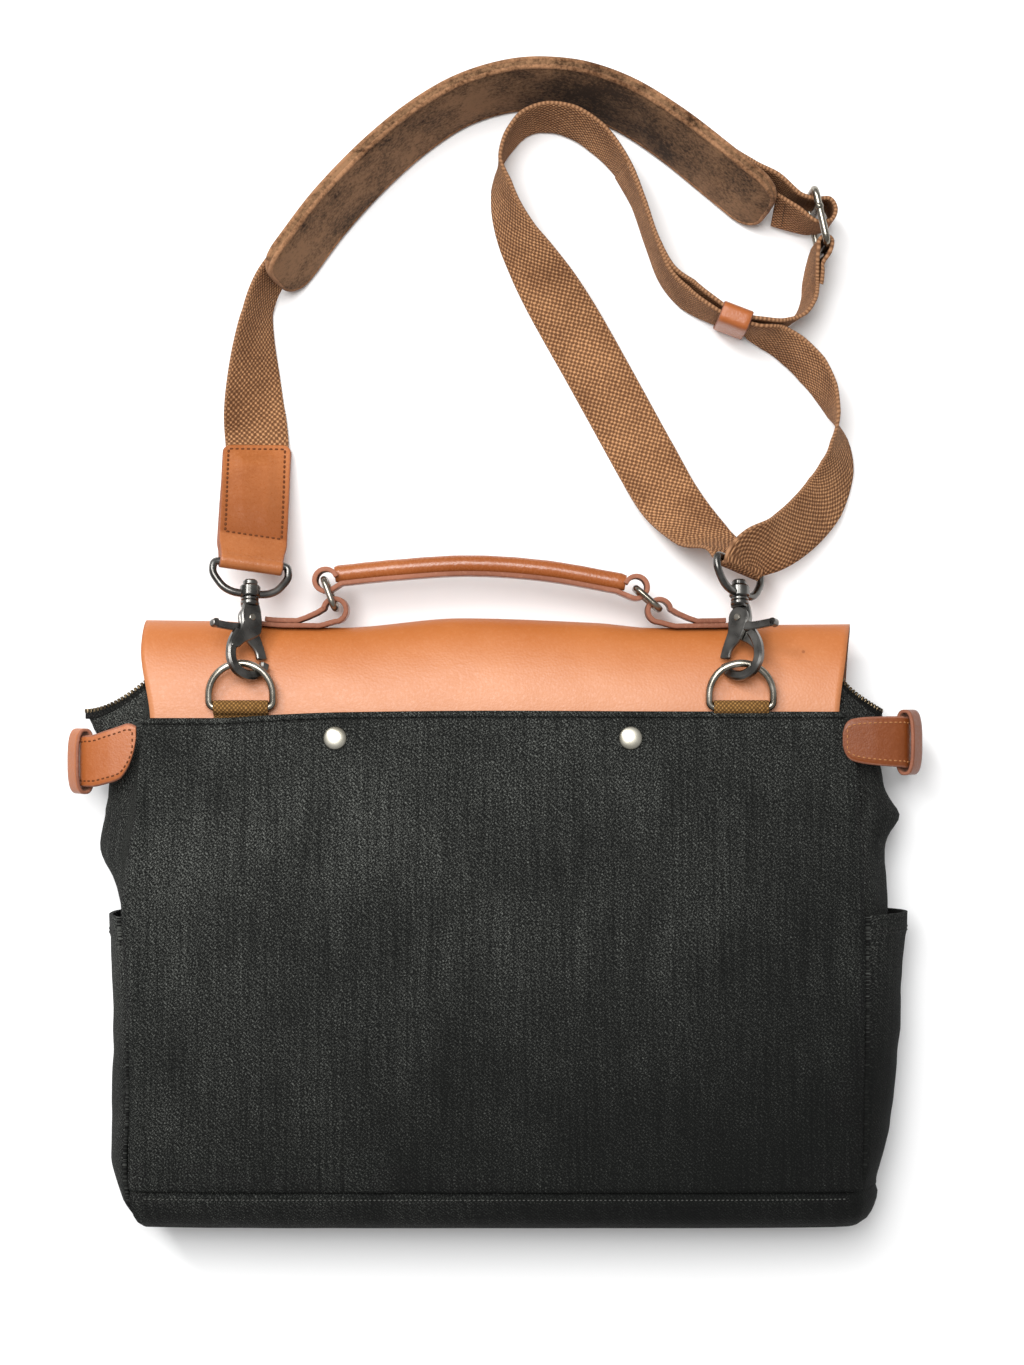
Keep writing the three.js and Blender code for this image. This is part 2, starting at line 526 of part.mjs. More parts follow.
function flapProfile(x, drop) {
  const reach = along(FLAP_REACH, x) - FLAP_NOSE_Y - drop;
  const radius = FLAP_HEIGHT / 2;
  const sag = HEM_DROP * (x / FLAP_REACH[0].at) ** 6;
  const profile = [
    [FLAP_TUCK_Y, FLAP_TUCK_HEIGHT - sag - drop],
    [(FLAP_TUCK_Y + FLAP_NOSE_Y) / 2, (FLAP_TUCK_HEIGHT + FLAP_HEIGHT - sag) / 2 - drop - 0.6],
  ];
  for (let k = 0; k <= FLAP_NOSE_STEPS; k++) {
    const turn = Math.PI / 2 - (Math.PI * k) / FLAP_NOSE_STEPS;
    profile.push([FLAP_NOSE_Y + reach * Math.cos(turn), radius + (radius - drop) * Math.sin(turn)]);
  }
  for (const toEnd of [90, FLAP_CORNER, 20, 9, 3, 0]) profile.push([FLAP_END_Y + toEnd, drop]);
  return profile;
}

function flapSheet() {
  const lengths = [0];
  const spine = flapProfile(0, 0);
  for (let i = 1; i < spine.length; i++) {
    const step = Math.hypot(spine[i][0] - spine[i - 1][0], spine[i][1] - spine[i - 1][1]);
    lengths.push(lengths[i - 1] + step);
  }
  const grid = (drop) => lengths.map((length, i) => {
    const toEnd = lengths[lengths.length - 1] - length;
    const corner = Math.max(FLAP_CORNER - toEnd, 0);
    const trim = FLAP_CORNER - Math.sqrt(FLAP_CORNER ** 2 - corner ** 2);
    const left = along(FLAP_EDGES, length, 'left') + trim;
    const right = along(FLAP_EDGES, length, 'right') - trim;
    return Array.from({ length: FLAP_STEPS + 1 }, (_, j) => {
      const x = left + ((right - left) * j) / FLAP_STEPS;
      const [y, z] = flapProfile(x, drop)[i];
      return point(x, y, z);
    });
  });
  return sheet(grid(0), grid(LEATHER));
}

// Side pocket: a sheet round the gusset that stands off it at the middle

function bodySectionAt(y) {
  const i = Math.max(BODY_SECTIONS.findIndex((section) => section.y > y) - 1, 0);
  const from = BODY_SECTIONS[i];
  const to = BODY_SECTIONS[i + 1];
  const t = (y - from.y) / (to.y - from.y);
  const mixed = { y };
  for (const key of ['back', 'front', 'seamLeft', 'seamRight', 'sideLeft', 'sideRight']) {
    mixed[key] = from[key] + (to[key] - from[key]) * t;
  }
  return mixed;
}

function pocketSheet(pocket) {
  const levels = [pocket.foot, -140, -115, -72, -58, -35, pocket.mouth];
  const grid = (standOff) => levels.map((y) => {
    const section = bodySectionAt(y);
    const seam = pocket.side < 0 ? section.seamLeft : section.seamRight;
    const side = pocket.side < 0 ? section.sideLeft : section.sideRight;
    const top = section.back - SEAM_DROP - 3;
    const bottom = section.front + 3;
    const share = (y - pocket.foot) / (pocket.mouth - pocket.foot);
    const stand = pocket.footStand + (pocket.mouthStand - pocket.footStand) * share;
    return Array.from({ length: POCKET_STEPS + 1 }, (_, j) => {
      const t = j / POCKET_STEPS;
      const place = 0.06 + 0.88 * t;
      const swell = Math.sin(Math.PI * place) ** GUSSET_FULLNESS;
      const proud = stand * Math.sin(Math.PI * t) ** 0.6;
      const out = Math.abs(side - seam) * swell + CLEARANCE + 0.8 + proud + standOff;
      return point(seam + pocket.side * out, y, top + (bottom - top) * t);
    });
  });
  return sheet(grid(CANVAS), grid(0));
}

// Side tabs and their loops

function sideTab(tab) {
  const rows = tab.stations.map((station) => ({ ...station, azimuth: 90, lift: 0 }));
  return ribbon(rows, 2, TAB_WIDTH, TAB_THICK);
}

function sideKeeper(keeper) {
  const mesh = addMesh(keeper.name, bandLoop(SIDE_KEEPER), 'leather');
  mesh.position.set(keeper.x, keeper.y, keeper.z);
  mesh.rotation.y = keeper.side * radians(90 + SIDE_KEEPER.lean);
}

// Rivets

function rivetDome() {
  const profile = [new THREE.Vector2(0, 0), new THREE.Vector2(RIVET.radius, 0), new THREE.Vector2(RIVET.radius, RIVET.rim)];
  for (let k = 1; k <= 5; k++) {
    const turn = (k / 5) * (Math.PI / 2);
    const height = RIVET.rim + (RIVET.dome - RIVET.rim) * Math.sin(turn);
    profile.push(new THREE.Vector2(k < 5 ? RIVET.radius * Math.cos(turn) : 0, height));
  }
  return mergeVertices(bare(new THREE.LatheGeometry(profile, 12)).rotateX(Math.PI / 2), 1e-3);
}

function bare(geometry) {
  geometry.deleteAttribute('normal');
  geometry.deleteAttribute('uv');
  return geometry;
}

// D-rings and their webbing tabs

function dOutline() {
  const { half, bow } = D_RING;
  const outline = [[-half + 3.6, 0], [0, 0], [half - 3.6, 0], [half - 1, 0.8], [half, 3.2]];
  const steps = 12;
  for (let k = 0; k <= steps; k++) {
    const turn = (Math.PI * k) / steps;
    outline.push([half * Math.cos(turn), bow + half * Math.sin(turn)]);
  }
  outline.push([-half, 3.2], [-half + 1, 0.8]);
  return outline;
}

function dTab() {
  const { barY, barZ } = D_RING;
  const room = RING_WIRE + CLEARANCE;
  const outer = room + D_TAB.ply;
  const sides = 14;
  const loop = Array.from({ length: sides }, (_, k) => {
    const turn = (2 * Math.PI * k) / sides;
    return [barY + outer * Math.cos(turn), barZ + outer * Math.sin(turn)];
  });
  const low = barZ - outer * Math.cos(Math.PI / sides);
  const tail = [[D_TAB.tuckY, low], [barY, low], [barY, low + D_TAB.thick], [D_TAB.tuckY, low + D_TAB.thick]];
  const half = D_TAB.width / 2;
  const across = (shape, reach) => extruded(shape, -reach, reach);
  const whole = joined(across(shapeOf(loop), half), across(shapeOf(tail), half));
  const hole = cylinder(room, -half - 1, half + 1).translate(barY, barZ, 0);
  // The profile lies in the YZ plane, and its extrusion runs along X.
  return cutBy(whole, hole).applyMatrix4(new THREE.Matrix4().makeBasis(
    point(0, 1, 0), point(0, 0, 1), point(1, 0, 0)));
}

// Trigger hooks

function hookBasis(hook, roll) {
  const slope = radians(HOOK_SLOPE);
  const across = point(1, 0, 0);
  const length = point(0, Math.cos(slope), -Math.sin(slope));
  const face = across.clone().cross(length);
  const turn = radians(roll);
  const sign = hook.turned ? -1 : 1;
  const a = across.multiplyScalar(sign * Math.cos(turn)).addScaledVector(face, -Math.sin(turn));
  return new THREE.Matrix4().makeBasis(a, length, a.clone().cross(length));
}

function hookBowl() {
  const line = new THREE.CatmullRomCurve3(HOOK_BOWL.map(({ a, b }) => point(a, b, 0)));
  const steps = 12;
  const sides = 8;
  const rings = Array.from({ length: steps + 1 }, (_, i) => {
    const centre = line.getPoint(i / steps);
    const heading = line.getTangent(i / steps);
    return Array.from({ length: sides }, (_unused, k) => {
      const turn = ((k + 0.5) / sides) * 2 * Math.PI;
      const out = HOOK_WIRE.across * Math.cos(turn) * 1.06;
      return point(centre.x + heading.y * out, centre.y - heading.x * out, HOOK_WIRE.deep * Math.sin(turn));
    });
  });
  return loft(rings);
}

function hookBody() {
  const { from, to } = HOOK_PLATE;
  const plate = shapeOf([
    [-4.4, 9], [-6.2, 3.4], [-6.2, -2.4], [-9.4, -9.6], [-12.6, -15.6], [-7.4, -17.6], [-2.6, -13], [3.6, -7.6],
    [6.2, -2.4], [6.2, 3.4], [4.4, 9],
  ]);
  const neck = shapeOf([[-4.4, 6.6], [4.4, 6.6], [4.8, 9.6], [-4.8, 9.6]]);
  const post = [
    [0, 7.6], [5, 7.6], [5.4, 8.6], [5.4, 9.8], [4.6, 10.4], [5.2, 11], [5.2, 12.2], [HOOK_POST, 12.5],
    [HOOK_POST, 20.1], [4.4, 20.1], [4.4, 22.4], [3.4, 23.4], [0, 23.4],
  ].map(([x, y]) => new THREE.Vector2(x, y));
  return joined(
    extruded(plate, from, to),
    extruded(neck, LEVER_PLATE.from, to),
    hookBowl(),
    bare(new THREE.LatheGeometry(post, 10)),
    cylinder(HOOK_PIN, LEVER_PLATE.from - 0.9, to + 0.7, 10),
    cylinder(HOOK_PIN + 1, LEVER_PLATE.from - 0.9, LEVER_PLATE.from - 0.3, 10),
  );
}

function hookLever() {
  const { from, to } = LEVER_PLATE;
  const head = cylinder(5.6, from, to, 16);
  const tab = shapeOf([
    [-3, -2.2], [-24.4, -2.6], [-26.2, -1], [-27.4, -2], [-27.2, -7], [-25.4, -7.4], [-23.6, -6.2], [-8, -6.8],
    [-2, -5.2],
  ]);
  const gate = shapeOf([
    [4.4, 2], [7.4, -5], [10.4, -12], [11.8, -18], [11.4, -21.4], [6.8, -23.2], [6.6, -17.6], [4.4, -12],
    [0, -5.4], [-2, 0],
  ]);
  const jaw = shapeOf([[10.4, -12], [11.8, -18], [11.4, -21.4], [6.8, -23.2], [6.6, -17.6], [4.6, -12.4]]);
  const thumb = shapeOf([[-26.2, -1], [-27.4, -2], [-27.2, -7], [-25.4, -7.4], [-24.6, -4.4]]);
  const whole = joined(
    head, extruded(tab, from, to), extruded(gate, from, to), extruded(jaw, from, 2.4), extruded(thumb, from, 2.2));
  return cutBy(whole, cylinder(HOOK_PIN + CLEARANCE, from - 1, to + 1));
}

function hookEye() {
  const { half, barB, footB, hub, hubFrom, hubTo } = EYE;
  const right = [
    [10, footB + 0.9], [15.6, footB + 3.4], [19.4, footB + 7.4], [half, footB + 12], [half, barB - 2.2],
    [half - 0.7, barB - 0.7], [half - 2.2, barB],
  ];
  const left = right.map(([a, b]) => [-a, b]).reverse();
  const loop = wireLoop([[0, footB + 0.4], ...right, [0, barB], ...left], EYE_WIRE);
  const barrel = (radius, from, to) => bare(new THREE.CylinderGeometry(radius, radius, to - from, 12))
    .translate(0, (from + to) / 2, 0);
  const whole = joined(loop, barrel(hub, hubFrom, hubTo));
  return cutBy(whole, barrel(HOOK_POST + CLEARANCE, hubFrom - 1, hubTo + 1));
}

function addHook(hook) {
  const place = (mesh, roll) => {
    mesh.quaternion.setFromRotationMatrix(hookBasis(hook, roll));
    mesh.position.set(hook.x, hook.y, hook.z);
  };
  place(addMesh(`hook_body_${hook.side}`, hookBody(), 'gunmetal'), HOOK_ROLL);
  place(addMesh(`hook_lever_${hook.side}`, hookLever(), 'gunmetal'), HOOK_ROLL);
  place(addMesh(`hook_eye_${hook.side}`, hookEye(), 'gunmetal'), hook.turned ? -hook.eyeRoll : hook.eyeRoll);
  const ring = addMesh(`d_ring_${hook.side}`, wireLoop(dOutline(), RING_WIRE), 'nickel');
  ring.position.set(hook.ringX, D_RING.barY, D_RING.barZ);
  ring.rotation.x = radians(D_RING.rise);
  addMesh(`d_ring_tab_${hook.side}`, dTab(), 'webbing').position.x = hook.ringX;
}

// Handle

function ringSolid(outer, inner, width) {
  const ring = cylinder(outer, -width / 2, width / 2, 16);
  return cutBy(ring, cylinder(inner, -width, width, 16));
}

function gripRoll() {
  const line = new THREE.CatmullRomCurve3(GRIP_LINE.map(({ x, y }) => point(x, y, 0)));
  const steps = 12;
  const sides = 10;
  return loft(Array.from({ length: steps + 1 }, (_, i) => {
    const centre = line.getPoint(i / steps);
    const heading = line.getTangent(i / steps);
    return Array.from({ length: sides }, (_unused, k) => {
      const turn = (k / sides) * 2 * Math.PI;
      const out = GRIP_RADIUS * Math.cos(turn);
      return point(centre.x - heading.y * out, centre.y + heading.x * out, GRIP_RADIUS * Math.sin(turn));
    });
  }));
}

function addHandle() {
  const { outer, inner, width } = HANDLE_LOOP;
  const loops = HANDLE_ENDS.map((end) => ringSolid(outer, inner, width).translate(end.loopX, end.loopY, 0));
  addMesh('handle_grip', joined(gripRoll(), ...loops), 'leather').position.z = HANDLE_Z;
  for (const end of HANDLE_ENDS) {
    const { wire, link, half } = HANDLE_RING;
    const ring = addMesh(`handle_ring_${end.side}`, wireLoop(roundedOutline(link / 2, half, 5), wire), 'nickel');
    const lean = radians(end.lean);
    ring.position.set(end.barX + (link / 2) * Math.cos(lean), end.barY + (link / 2) * Math.sin(lean), HANDLE_Z);
    ring.quaternion.setFromRotationMatrix(new THREE.Matrix4().makeBasis(
      point(Math.cos(lean), Math.sin(lean), 0), point(0, 0, 1), point(Math.sin(lean), -Math.cos(lean), 0)));
    addMesh(`handle_anchor_${end.side}`, handleAnchor(end), 'leather').position.z = HANDLE_Z;
  }
}

// Anchor: a doubled strip that lies on the flap's nose and ends in a loop round the ring's lower bar
function handleAnchor(end) {
  const lean = radians(end.lean);
  const x = end.barX + HANDLE_RING.link * Math.cos(lean);
  const y = end.barY + HANDLE_RING.link * Math.sin(lean) - 1;
  const steps = 8;
  const low = [];
  const high = [];
  for (let k = 0; k <= steps; k++) {
    const at = end.anchorTo + ((x - end.anchorTo) * k) / steps;
    const rest = along(FLAP_REACH, at) + 2 * CLEARANCE;
    low.push([at, rest]);
    high.push([at, rest + (k === 0 ? ANCHOR_THICK * 0.6 : ANCHOR_THICK)]);
  }
  const half = ANCHOR_LOOP.width / 2;
  const strip = extruded(shapeOf([...low, ...high.reverse()]), -half, half);
  const hole = cylinder(ANCHOR_LOOP.inner, -half - 1, half + 1, 16).translate(x, y, 0);
  const loop = cylinder(ANCHOR_LOOP.outer, -half, half, 16).translate(x, y, 0);
  return cutBy(joined(strip, loop), hole);
}

// Shoulder strap

function padFrames() {
  return PAD_SECTIONS.map((section, i) => {
    const before = PAD_SECTIONS[Math.max(i - 1, 0)];
    const next = PAD_SECTIONS[Math.min(i + 1, PAD_SECTIONS.length - 1)];
    const heading = point(next.x - before.x, next.y - before.y, next.z - before.z).normalize();
    const edge = edgeDirection(section);
    edge.addScaledVector(heading, -edge.dot(heading)).normalize();
    return { section, edge, face: edge.clone().cross(heading).negate() };
  });
}

function shoulderPad() {
  return loft(padFrames().map(({ section, edge, face }) => Array.from({ length: PAD_SIDES }, (_, k) => {
    const turn = (2 * Math.PI * k) / PAD_SIDES;
    const e = Math.sign(Math.cos(turn)) * Math.abs(Math.cos(turn)) ** 0.7 * (section.width / 2);
    const f = Math.sign(Math.sin(turn)) * Math.abs(Math.sin(turn)) ** 0.7 * (section.thick / 2);
    return point(section.x, section.y, section.z).addScaledVector(edge, e).addScaledVector(face, f);
  })));
}

// The left webbing runs along the pad's outer face between its two free stretches.
function leftWebbingRows() {
  const sewn = padFrames().slice(PAD_SEWN.from, PAD_SEWN.to).map(({ section, face }) => {
    const outward = face.z < 0 ? face : face.clone().negate();
    const centre = point(section.x, section.y, section.z).addScaledVector(outward, PAD_SEWN.offset);
    return { x: centre.x, y: centre.y, z: centre.z, azimuth: section.azimuth, lift: section.lift };
  });
  return [...STRAP_LEFT, ...sewn, ...STRAP_TO_SLIDER];
}

function sliderFrame() {
  const frame = wireLoop(roundedOutline(SLIDER.half, SLIDER.height, 5), RING_WIRE);
  const bar = bare(new THREE.CylinderGeometry(SLIDER.barRadius, SLIDER.barRadius, SLIDER.height * 2, 8));
  return joined(frame, bar.translate(SLIDER.barAt, 0, 0));
}

// Leather end: folded round the eye's bar, with a slot between its plies for the webbing
function endTab() {
  const room = EYE_WIRE + CLEARANCE;
  const outer = room + LEATHER;
  const { foldWidth, foldLength, width, length, slot, slotDepth } = END_TAB;
  const half = width / 2;
  const ply = slot / 2 + LEATHER;
  const slab = (from, to) => shapeOf([[-ply, from], [ply, from], [ply, to], [-ply, to]]);
  const fold = foldWidth / 2;
  const whole = joined(
    cylinder(outer, -fold, fold, 14),
    extruded(slab(0, foldLength), -fold, fold),
    extruded(slab(foldLength - 1, length), -half, half),
  );
  const space = shapeOf([[-slot / 2, length - slotDepth], [slot / 2, length - slotDepth], [slot / 2, length + 1],
    [-slot / 2, length + 1]]);
  return cutBy(whole, cylinder(room, -half - 1, half + 1, 14), extruded(space, -half - 1, half + 1));
}

function addStrap() {
  addMesh('strap_webbing_left', ribbon(leftWebbingRows(), STRAP_STEPS, STRAP_WIDTH, WEBBING), 'webbing');
  addMesh('strap_webbing_right', ribbon(STRAP_RIGHT, STRAP_STEPS, STRAP_WIDTH, WEBBING), 'webbing');
  addMesh('strap_pad', shoulderPad(), 'pad');
  const slider = addMesh('strap_slider', sliderFrame(), 'nickel');
  slider.position.set(SLIDER.x, SLIDER.y, SLIDER.z);
  const turn = radians(SLIDER.turn);
  slider.quaternion.setFromRotationMatrix(new THREE.Matrix4().makeBasis(
    point(Math.cos(turn), Math.sin(turn), 0), point(0, 0, 1), point(Math.sin(turn), -Math.cos(turn), 0)));
  const keeper = addMesh('strap_keeper', bandLoop(KEEPER), 'leather');
  const run = radians(KEEPER.turn);
  const lean = radians(KEEPER.lean);
  const along3 = point(Math.cos(run), Math.sin(run), 0);
  const up = point(Math.sin(run) * Math.sin(lean), -Math.cos(run) * Math.sin(lean), Math.cos(lean));
  keeper.position.set(KEEPER.x, KEEPER.y, KEEPER.z);
  keeper.quaternion.setFromRotationMatrix(new THREE.Matrix4().makeBasis(up.clone().cross(along3), up, along3));
  const tab = addMesh('strap_end_tab', endTab(), 'leather');
  const slope = radians(END_TAB.slope);
  const held = HOOKS[0];
  tab.position.set(0, EYE.barB, 0).applyMatrix4(hookBasis(held, 0)).add(point(held.x, held.y, held.z));
  tab.quaternion.setFromRotationMatrix(new THREE.Matrix4().makeBasis(
    point(0, Math.sin(slope), -Math.cos(slope)), point(0, Math.cos(slope), Math.sin(slope)), point(1, 0, 0)));
}

addMesh('body', bodyShell(), 'canvas');
addMesh('back_panel', backPanel(), 'canvas');
addMesh('flap', flapSheet(), 'leather');
for (const pocket of POCKETS) addMesh(pocket.name, pocketSheet(pocket), 'canvas');
for (const tab of SIDE_TABS) addMesh(tab.name, sideTab(tab), 'leather');
for (const keeper of SIDE_KEEPERS) sideKeeper(keeper);
for (const rivet of RIVETS) {
  const { x, y } = rivet;
  const mesh = addMesh(rivet.name, rivetDome(), 'nickel');
  mesh.position.set(x, y, panelHeight(x, y) + CLEARANCE);
  const rise = panelHeight(x, y + RIVET.radius) - panelHeight(x, y - RIVET.radius);
  mesh.rotation.x = Math.atan(rise / (2 * RIVET.radius));
}
for (const hook of HOOKS) addHook(hook);
addHandle();
addStrap();

export default bag;
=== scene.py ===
# Laptop bag of canvas and leather, lying on its front with its back up.
# Sizes are in millimetres in the row frame and become metres when a mesh is made.
import math

import bpy
from mathutils import Matrix, Vector, noise


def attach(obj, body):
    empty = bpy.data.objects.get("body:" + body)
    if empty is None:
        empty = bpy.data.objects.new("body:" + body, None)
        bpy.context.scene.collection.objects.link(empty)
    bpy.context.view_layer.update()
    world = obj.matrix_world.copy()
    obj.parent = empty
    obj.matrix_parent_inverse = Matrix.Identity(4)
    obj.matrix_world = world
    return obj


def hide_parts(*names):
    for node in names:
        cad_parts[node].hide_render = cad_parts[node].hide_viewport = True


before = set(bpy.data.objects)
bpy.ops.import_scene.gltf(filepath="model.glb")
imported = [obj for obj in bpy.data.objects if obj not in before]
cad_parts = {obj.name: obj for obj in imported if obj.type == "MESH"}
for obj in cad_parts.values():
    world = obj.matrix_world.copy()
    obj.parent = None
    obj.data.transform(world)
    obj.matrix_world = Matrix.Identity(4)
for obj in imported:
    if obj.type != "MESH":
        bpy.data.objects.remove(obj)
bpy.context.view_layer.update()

MM = 0.001

# Photograph's view: height of the camera over the surface, its place, and millimetres per pixel there
EYE_HEIGHT = 1700
EYE_X = 10
EYE_Y = 121
MM_PER_PIXEL = 0.605
PHOTO_ROWS = 1365
SENSOR = 36


def add_camera():
    data = bpy.data.cameras.new("photo_camera")
    data.sensor_fit = "VERTICAL"
    data.sensor_height = SENSOR
    data.sensor_width = SENSOR
    data.lens = SENSOR * EYE_HEIGHT / (PHOTO_ROWS * MM_PER_PIXEL)
    camera = bpy.data.objects.new("photo_camera", data)
    camera.location = (EYE_X * MM, EYE_Y * MM, EYE_HEIGHT * MM)
    bpy.context.scene.collection.objects.link(camera)
    bpy.context.scene.camera = camera


# Materials


LIT_SHARE = 0.84
MIX_INPUTS = (0, 6, 7)
MIX_RESULT = 2


def srgb(red, green, blue):
    """Linear colour that shows as a display colour from 0 to 255 in the stage's bright light."""
    def linear(level):
        share = level / 255
        return LIT_SHARE * (share / 12.92 if share <= 0.04045 else ((share + 0.055) / 1.055) ** 2.4)
    return (linear(red), linear(green), linear(blue), 1)


class Shader:
    """A material with a principled surface and short calls to add nodes to it."""

    def __init__(self, name, **surface):
        self.material = bpy.data.materials.new(name)
        self.material.use_nodes = True
        self.tree = self.material.node_tree
        self.surface = self.tree.nodes["Principled BSDF"]
        coordinates = self.add("ShaderNodeTexCoord")
        self.uv = coordinates.outputs["UV"]
        self.place = coordinates.outputs["Object"]
        for key, value in surface.items():
            self.surface.inputs[key.replace("_", " ")].default_value = value

    def add(self, kind, inputs=None, **settings):
        node = self.tree.nodes.new(kind)
        for key, value in settings.items():
            setattr(node, key, value)
        for key, value in (inputs or {}).items():
            self.join(value, node.inputs[key])
        return node

    def join(self, value, socket):
        if isinstance(value, bpy.types.NodeSocket):
            self.tree.links.new(value, socket)
        else:
            socket.default_value = value

    def scaled(self, source, scale, turn=0):
        turned_by = (0, 0, math.radians(turn))
        inputs = {"Vector": source, "Scale": scale, "Rotation": turned_by}
        return self.add("ShaderNodeMapping", inputs).outputs["Vector"]

    def noise(self, source, scale, detail=2, roughness=0.5):
        inputs = {"Vector": source, "Scale": scale, "Detail": detail, "Roughness": roughness}
        return self.add("ShaderNodeTexNoise", inputs).outputs["Fac"]

    def ramp(self, factor, low, high, start=0, end=1):
        inputs = {"Value": factor, "From Min": low, "From Max": high, "To Min": start, "To Max": end}
        return self.add("ShaderNodeMapRange", inputs).outputs["Result"]

    def streaks(self, source, scale, detail, roughness=0.6, turn=0):
        """Noise drawn out by a scale for each axis."""
        return self.noise(self.scaled(source, scale, turn), 1, detail, roughness)

    def cells(self, scale):
        return self.add("ShaderNodeTexVoronoi", {"Vector": self.place, "Scale": scale}).outputs["Distance"]

    def math(self, operation, first, second=0):
        return self.add("ShaderNodeMath", {0: first, 1: second}, operation=operation).outputs[0]

    def plus(self, first, second):
        return self.math("ADD", first, second)

    def times(self, product, *factors):
        for factor in factors:
            product = self.math("MULTIPLY", product, factor)
        return product

    def mix(self, factor, first, second):
        """Mix of two colours, each a socket or three display levels."""
        node = self.add("ShaderNodeMix", data_type="RGBA")
        for value, socket in zip((factor, first, second), MIX_INPUTS):
            self.join(srgb(*value) if isinstance(value, tuple) else value, node.inputs[socket])
        return node.outputs[MIX_RESULT]

    def split(self, source):
        return self.add("ShaderNodeSeparateXYZ", {"Vector": source}).outputs

    def finish(self, colour, rough=None, height=None, strength=0.5, distance=0.5):
        self.join(colour, self.surface.inputs["Base Color"])
        if rough is not None:
            self.join(rough, self.surface.inputs["Roughness"])
        if height is not None:
            inputs = {"Height": height, "Strength": strength, "Distance": distance * MM}
            bump = self.add("ShaderNodeBump", inputs)
            self.join(bump.outputs["Normal"], self.surface.inputs["Normal"])
        return self.material


def canvas_material(name, dark, light):
    """Heathered twill: fine pale flecks on steep diagonals over a dark ground, paler in soft patches, with
    painted shade darkening it towards the base and the right side.
    """
    shader = Shader(name, Roughness=0.95, Specular_IOR_Level=0.15)
    leaning = shader.scaled(shader.uv, (1, 1, 1), 42)
    crossing = shader.scaled(shader.uv, (1, 1, 1), -46)
    flecks = shader.streaks(leaning, (1900, 720, 1), 2)
    specks = shader.streaks(crossing, (1700, 900, 1), 1)
    warp = shader.streaks(shader.uv, (430, 14, 1), 2, 0.5)
    patches = shader.noise(shader.uv, 13, 4, 0.6)
    wave = {"Vector": crossing, "Scale": 190, "Distortion": 2, "Detail": 1, "Detail Scale": 4}
    ribs = shader.add("ShaderNodeTexWave", wave).outputs["Fac"]
    at = shader.split(shader.place)
    # Painted shade: the tone falls off towards the base and the right side, standing in for the light's
    # falloff over the bag.
    painted_light_toward_mouth = shader.math("SUBTRACT", at["Y"], shader.times(at["X"], 0.44))
    tone = shader.plus(shader.ramp(flecks, 0.5, 0.7), shader.times(shader.ramp(specks, 0.52, 0.74), 0.6))
    tone = shader.times(
        tone, shader.ramp(ribs, 0, 1, 0.45, 1.15), shader.ramp(warp, 0.25, 0.75, 0.5, 1.45),
        shader.ramp(patches, 0.28, 0.72, 0.5, 1.45), shader.ramp(painted_light_toward_mouth, -0.22, 0.08, 0.2, 1.16))
    folds = shader.streaks(shader.place, (30, 17, 30), 3, 0.55, 24)
    height = shader.plus(shader.plus(ribs, flecks), shader.times(folds, 14))
    return shader.finish(shader.mix(shader.ramp(tone, 0.03, 1.2), dark, light), None, height, 0.5, 0.4)


def leather_tone(shader, base, deep, pale):
    clouds = shader.noise(shader.place, 13, 4, 0.6)
    spots = shader.noise(shader.place, 520, 3, 0.6)
    tone = shader.mix(shader.ramp(clouds, 0.3, 0.7), deep, base)
    return shader.mix(shader.ramp(spots, 0.5, 0.8, 0, 0.35), tone, pale), spots


def leather_material(name, base, deep, pale, rough=(0.34, 0.52), grain=0.3, painted_shade_at=None):
    """Smooth leather: cloudy colour, fine pores and faint creases, and painted shade deepening it towards a
    given length along it.
    """
    shader = Shader(name, Specular_IOR_Level=0.45)
    tone, spots = leather_tone(shader, base, deep, pale)
    # Painted shade: the tone deepens along the length up to the given place, then lifts just past it.
    if painted_shade_at:
        along = shader.split(shader.uv)["Y"]
        before = shader.ramp(along, painted_shade_at * 0.25, painted_shade_at, 0, 0.85)
        after = shader.ramp(along, painted_shade_at * 1.02, painted_shade_at * 1.06, 1, 0.1)
        tone = shader.mix(shader.times(before, after), tone, deep)
    height = shader.plus(shader.cells(850), shader.times(spots, 1.2))
    return shader.finish(tone, shader.ramp(spots, 0.3, 0.7, *rough), height, grain, 0.25)


def flap_material():
    """Leather with a painted highlight that makes it paler and pinker towards the tucked end, and painted
    shade that deepens it over the nose.
    """
    shader = Shader("flap_leather", Specular_IOR_Level=0.42)
    # Two tones of one leather: the paler one is a painted highlight towards the tucked end, the deeper one
    # painted shade over the curving nose.
    low, spots = leather_tone(shader, (213, 146, 105), (203, 132, 88), (222, 160, 122))
    high, _ = leather_tone(shader, (196, 118, 62), (184, 104, 48), (206, 132, 78))
    drift = shader.times(shader.noise(shader.place, 16, 3, 0.6), 0.03)
    reach = shader.plus(shader.split(shader.uv)["Y"], drift)
    tone = shader.mix(shader.ramp(reach, 0.035, 0.095), low, high)
    tone = shader.mix(shader.ramp(shader.cells(42), 0.03, 0.06, 0.55, 0), tone, (128, 66, 30))
    creases = shader.streaks(shader.place, (30, 120, 30), 4, 0.65)
    height = shader.plus(shader.cells(700), shader.times(creases, 2.5))
    return shader.finish(tone, shader.ramp(spots, 0.3, 0.7, 0.36, 0.5), height, 0.3, 0.25)


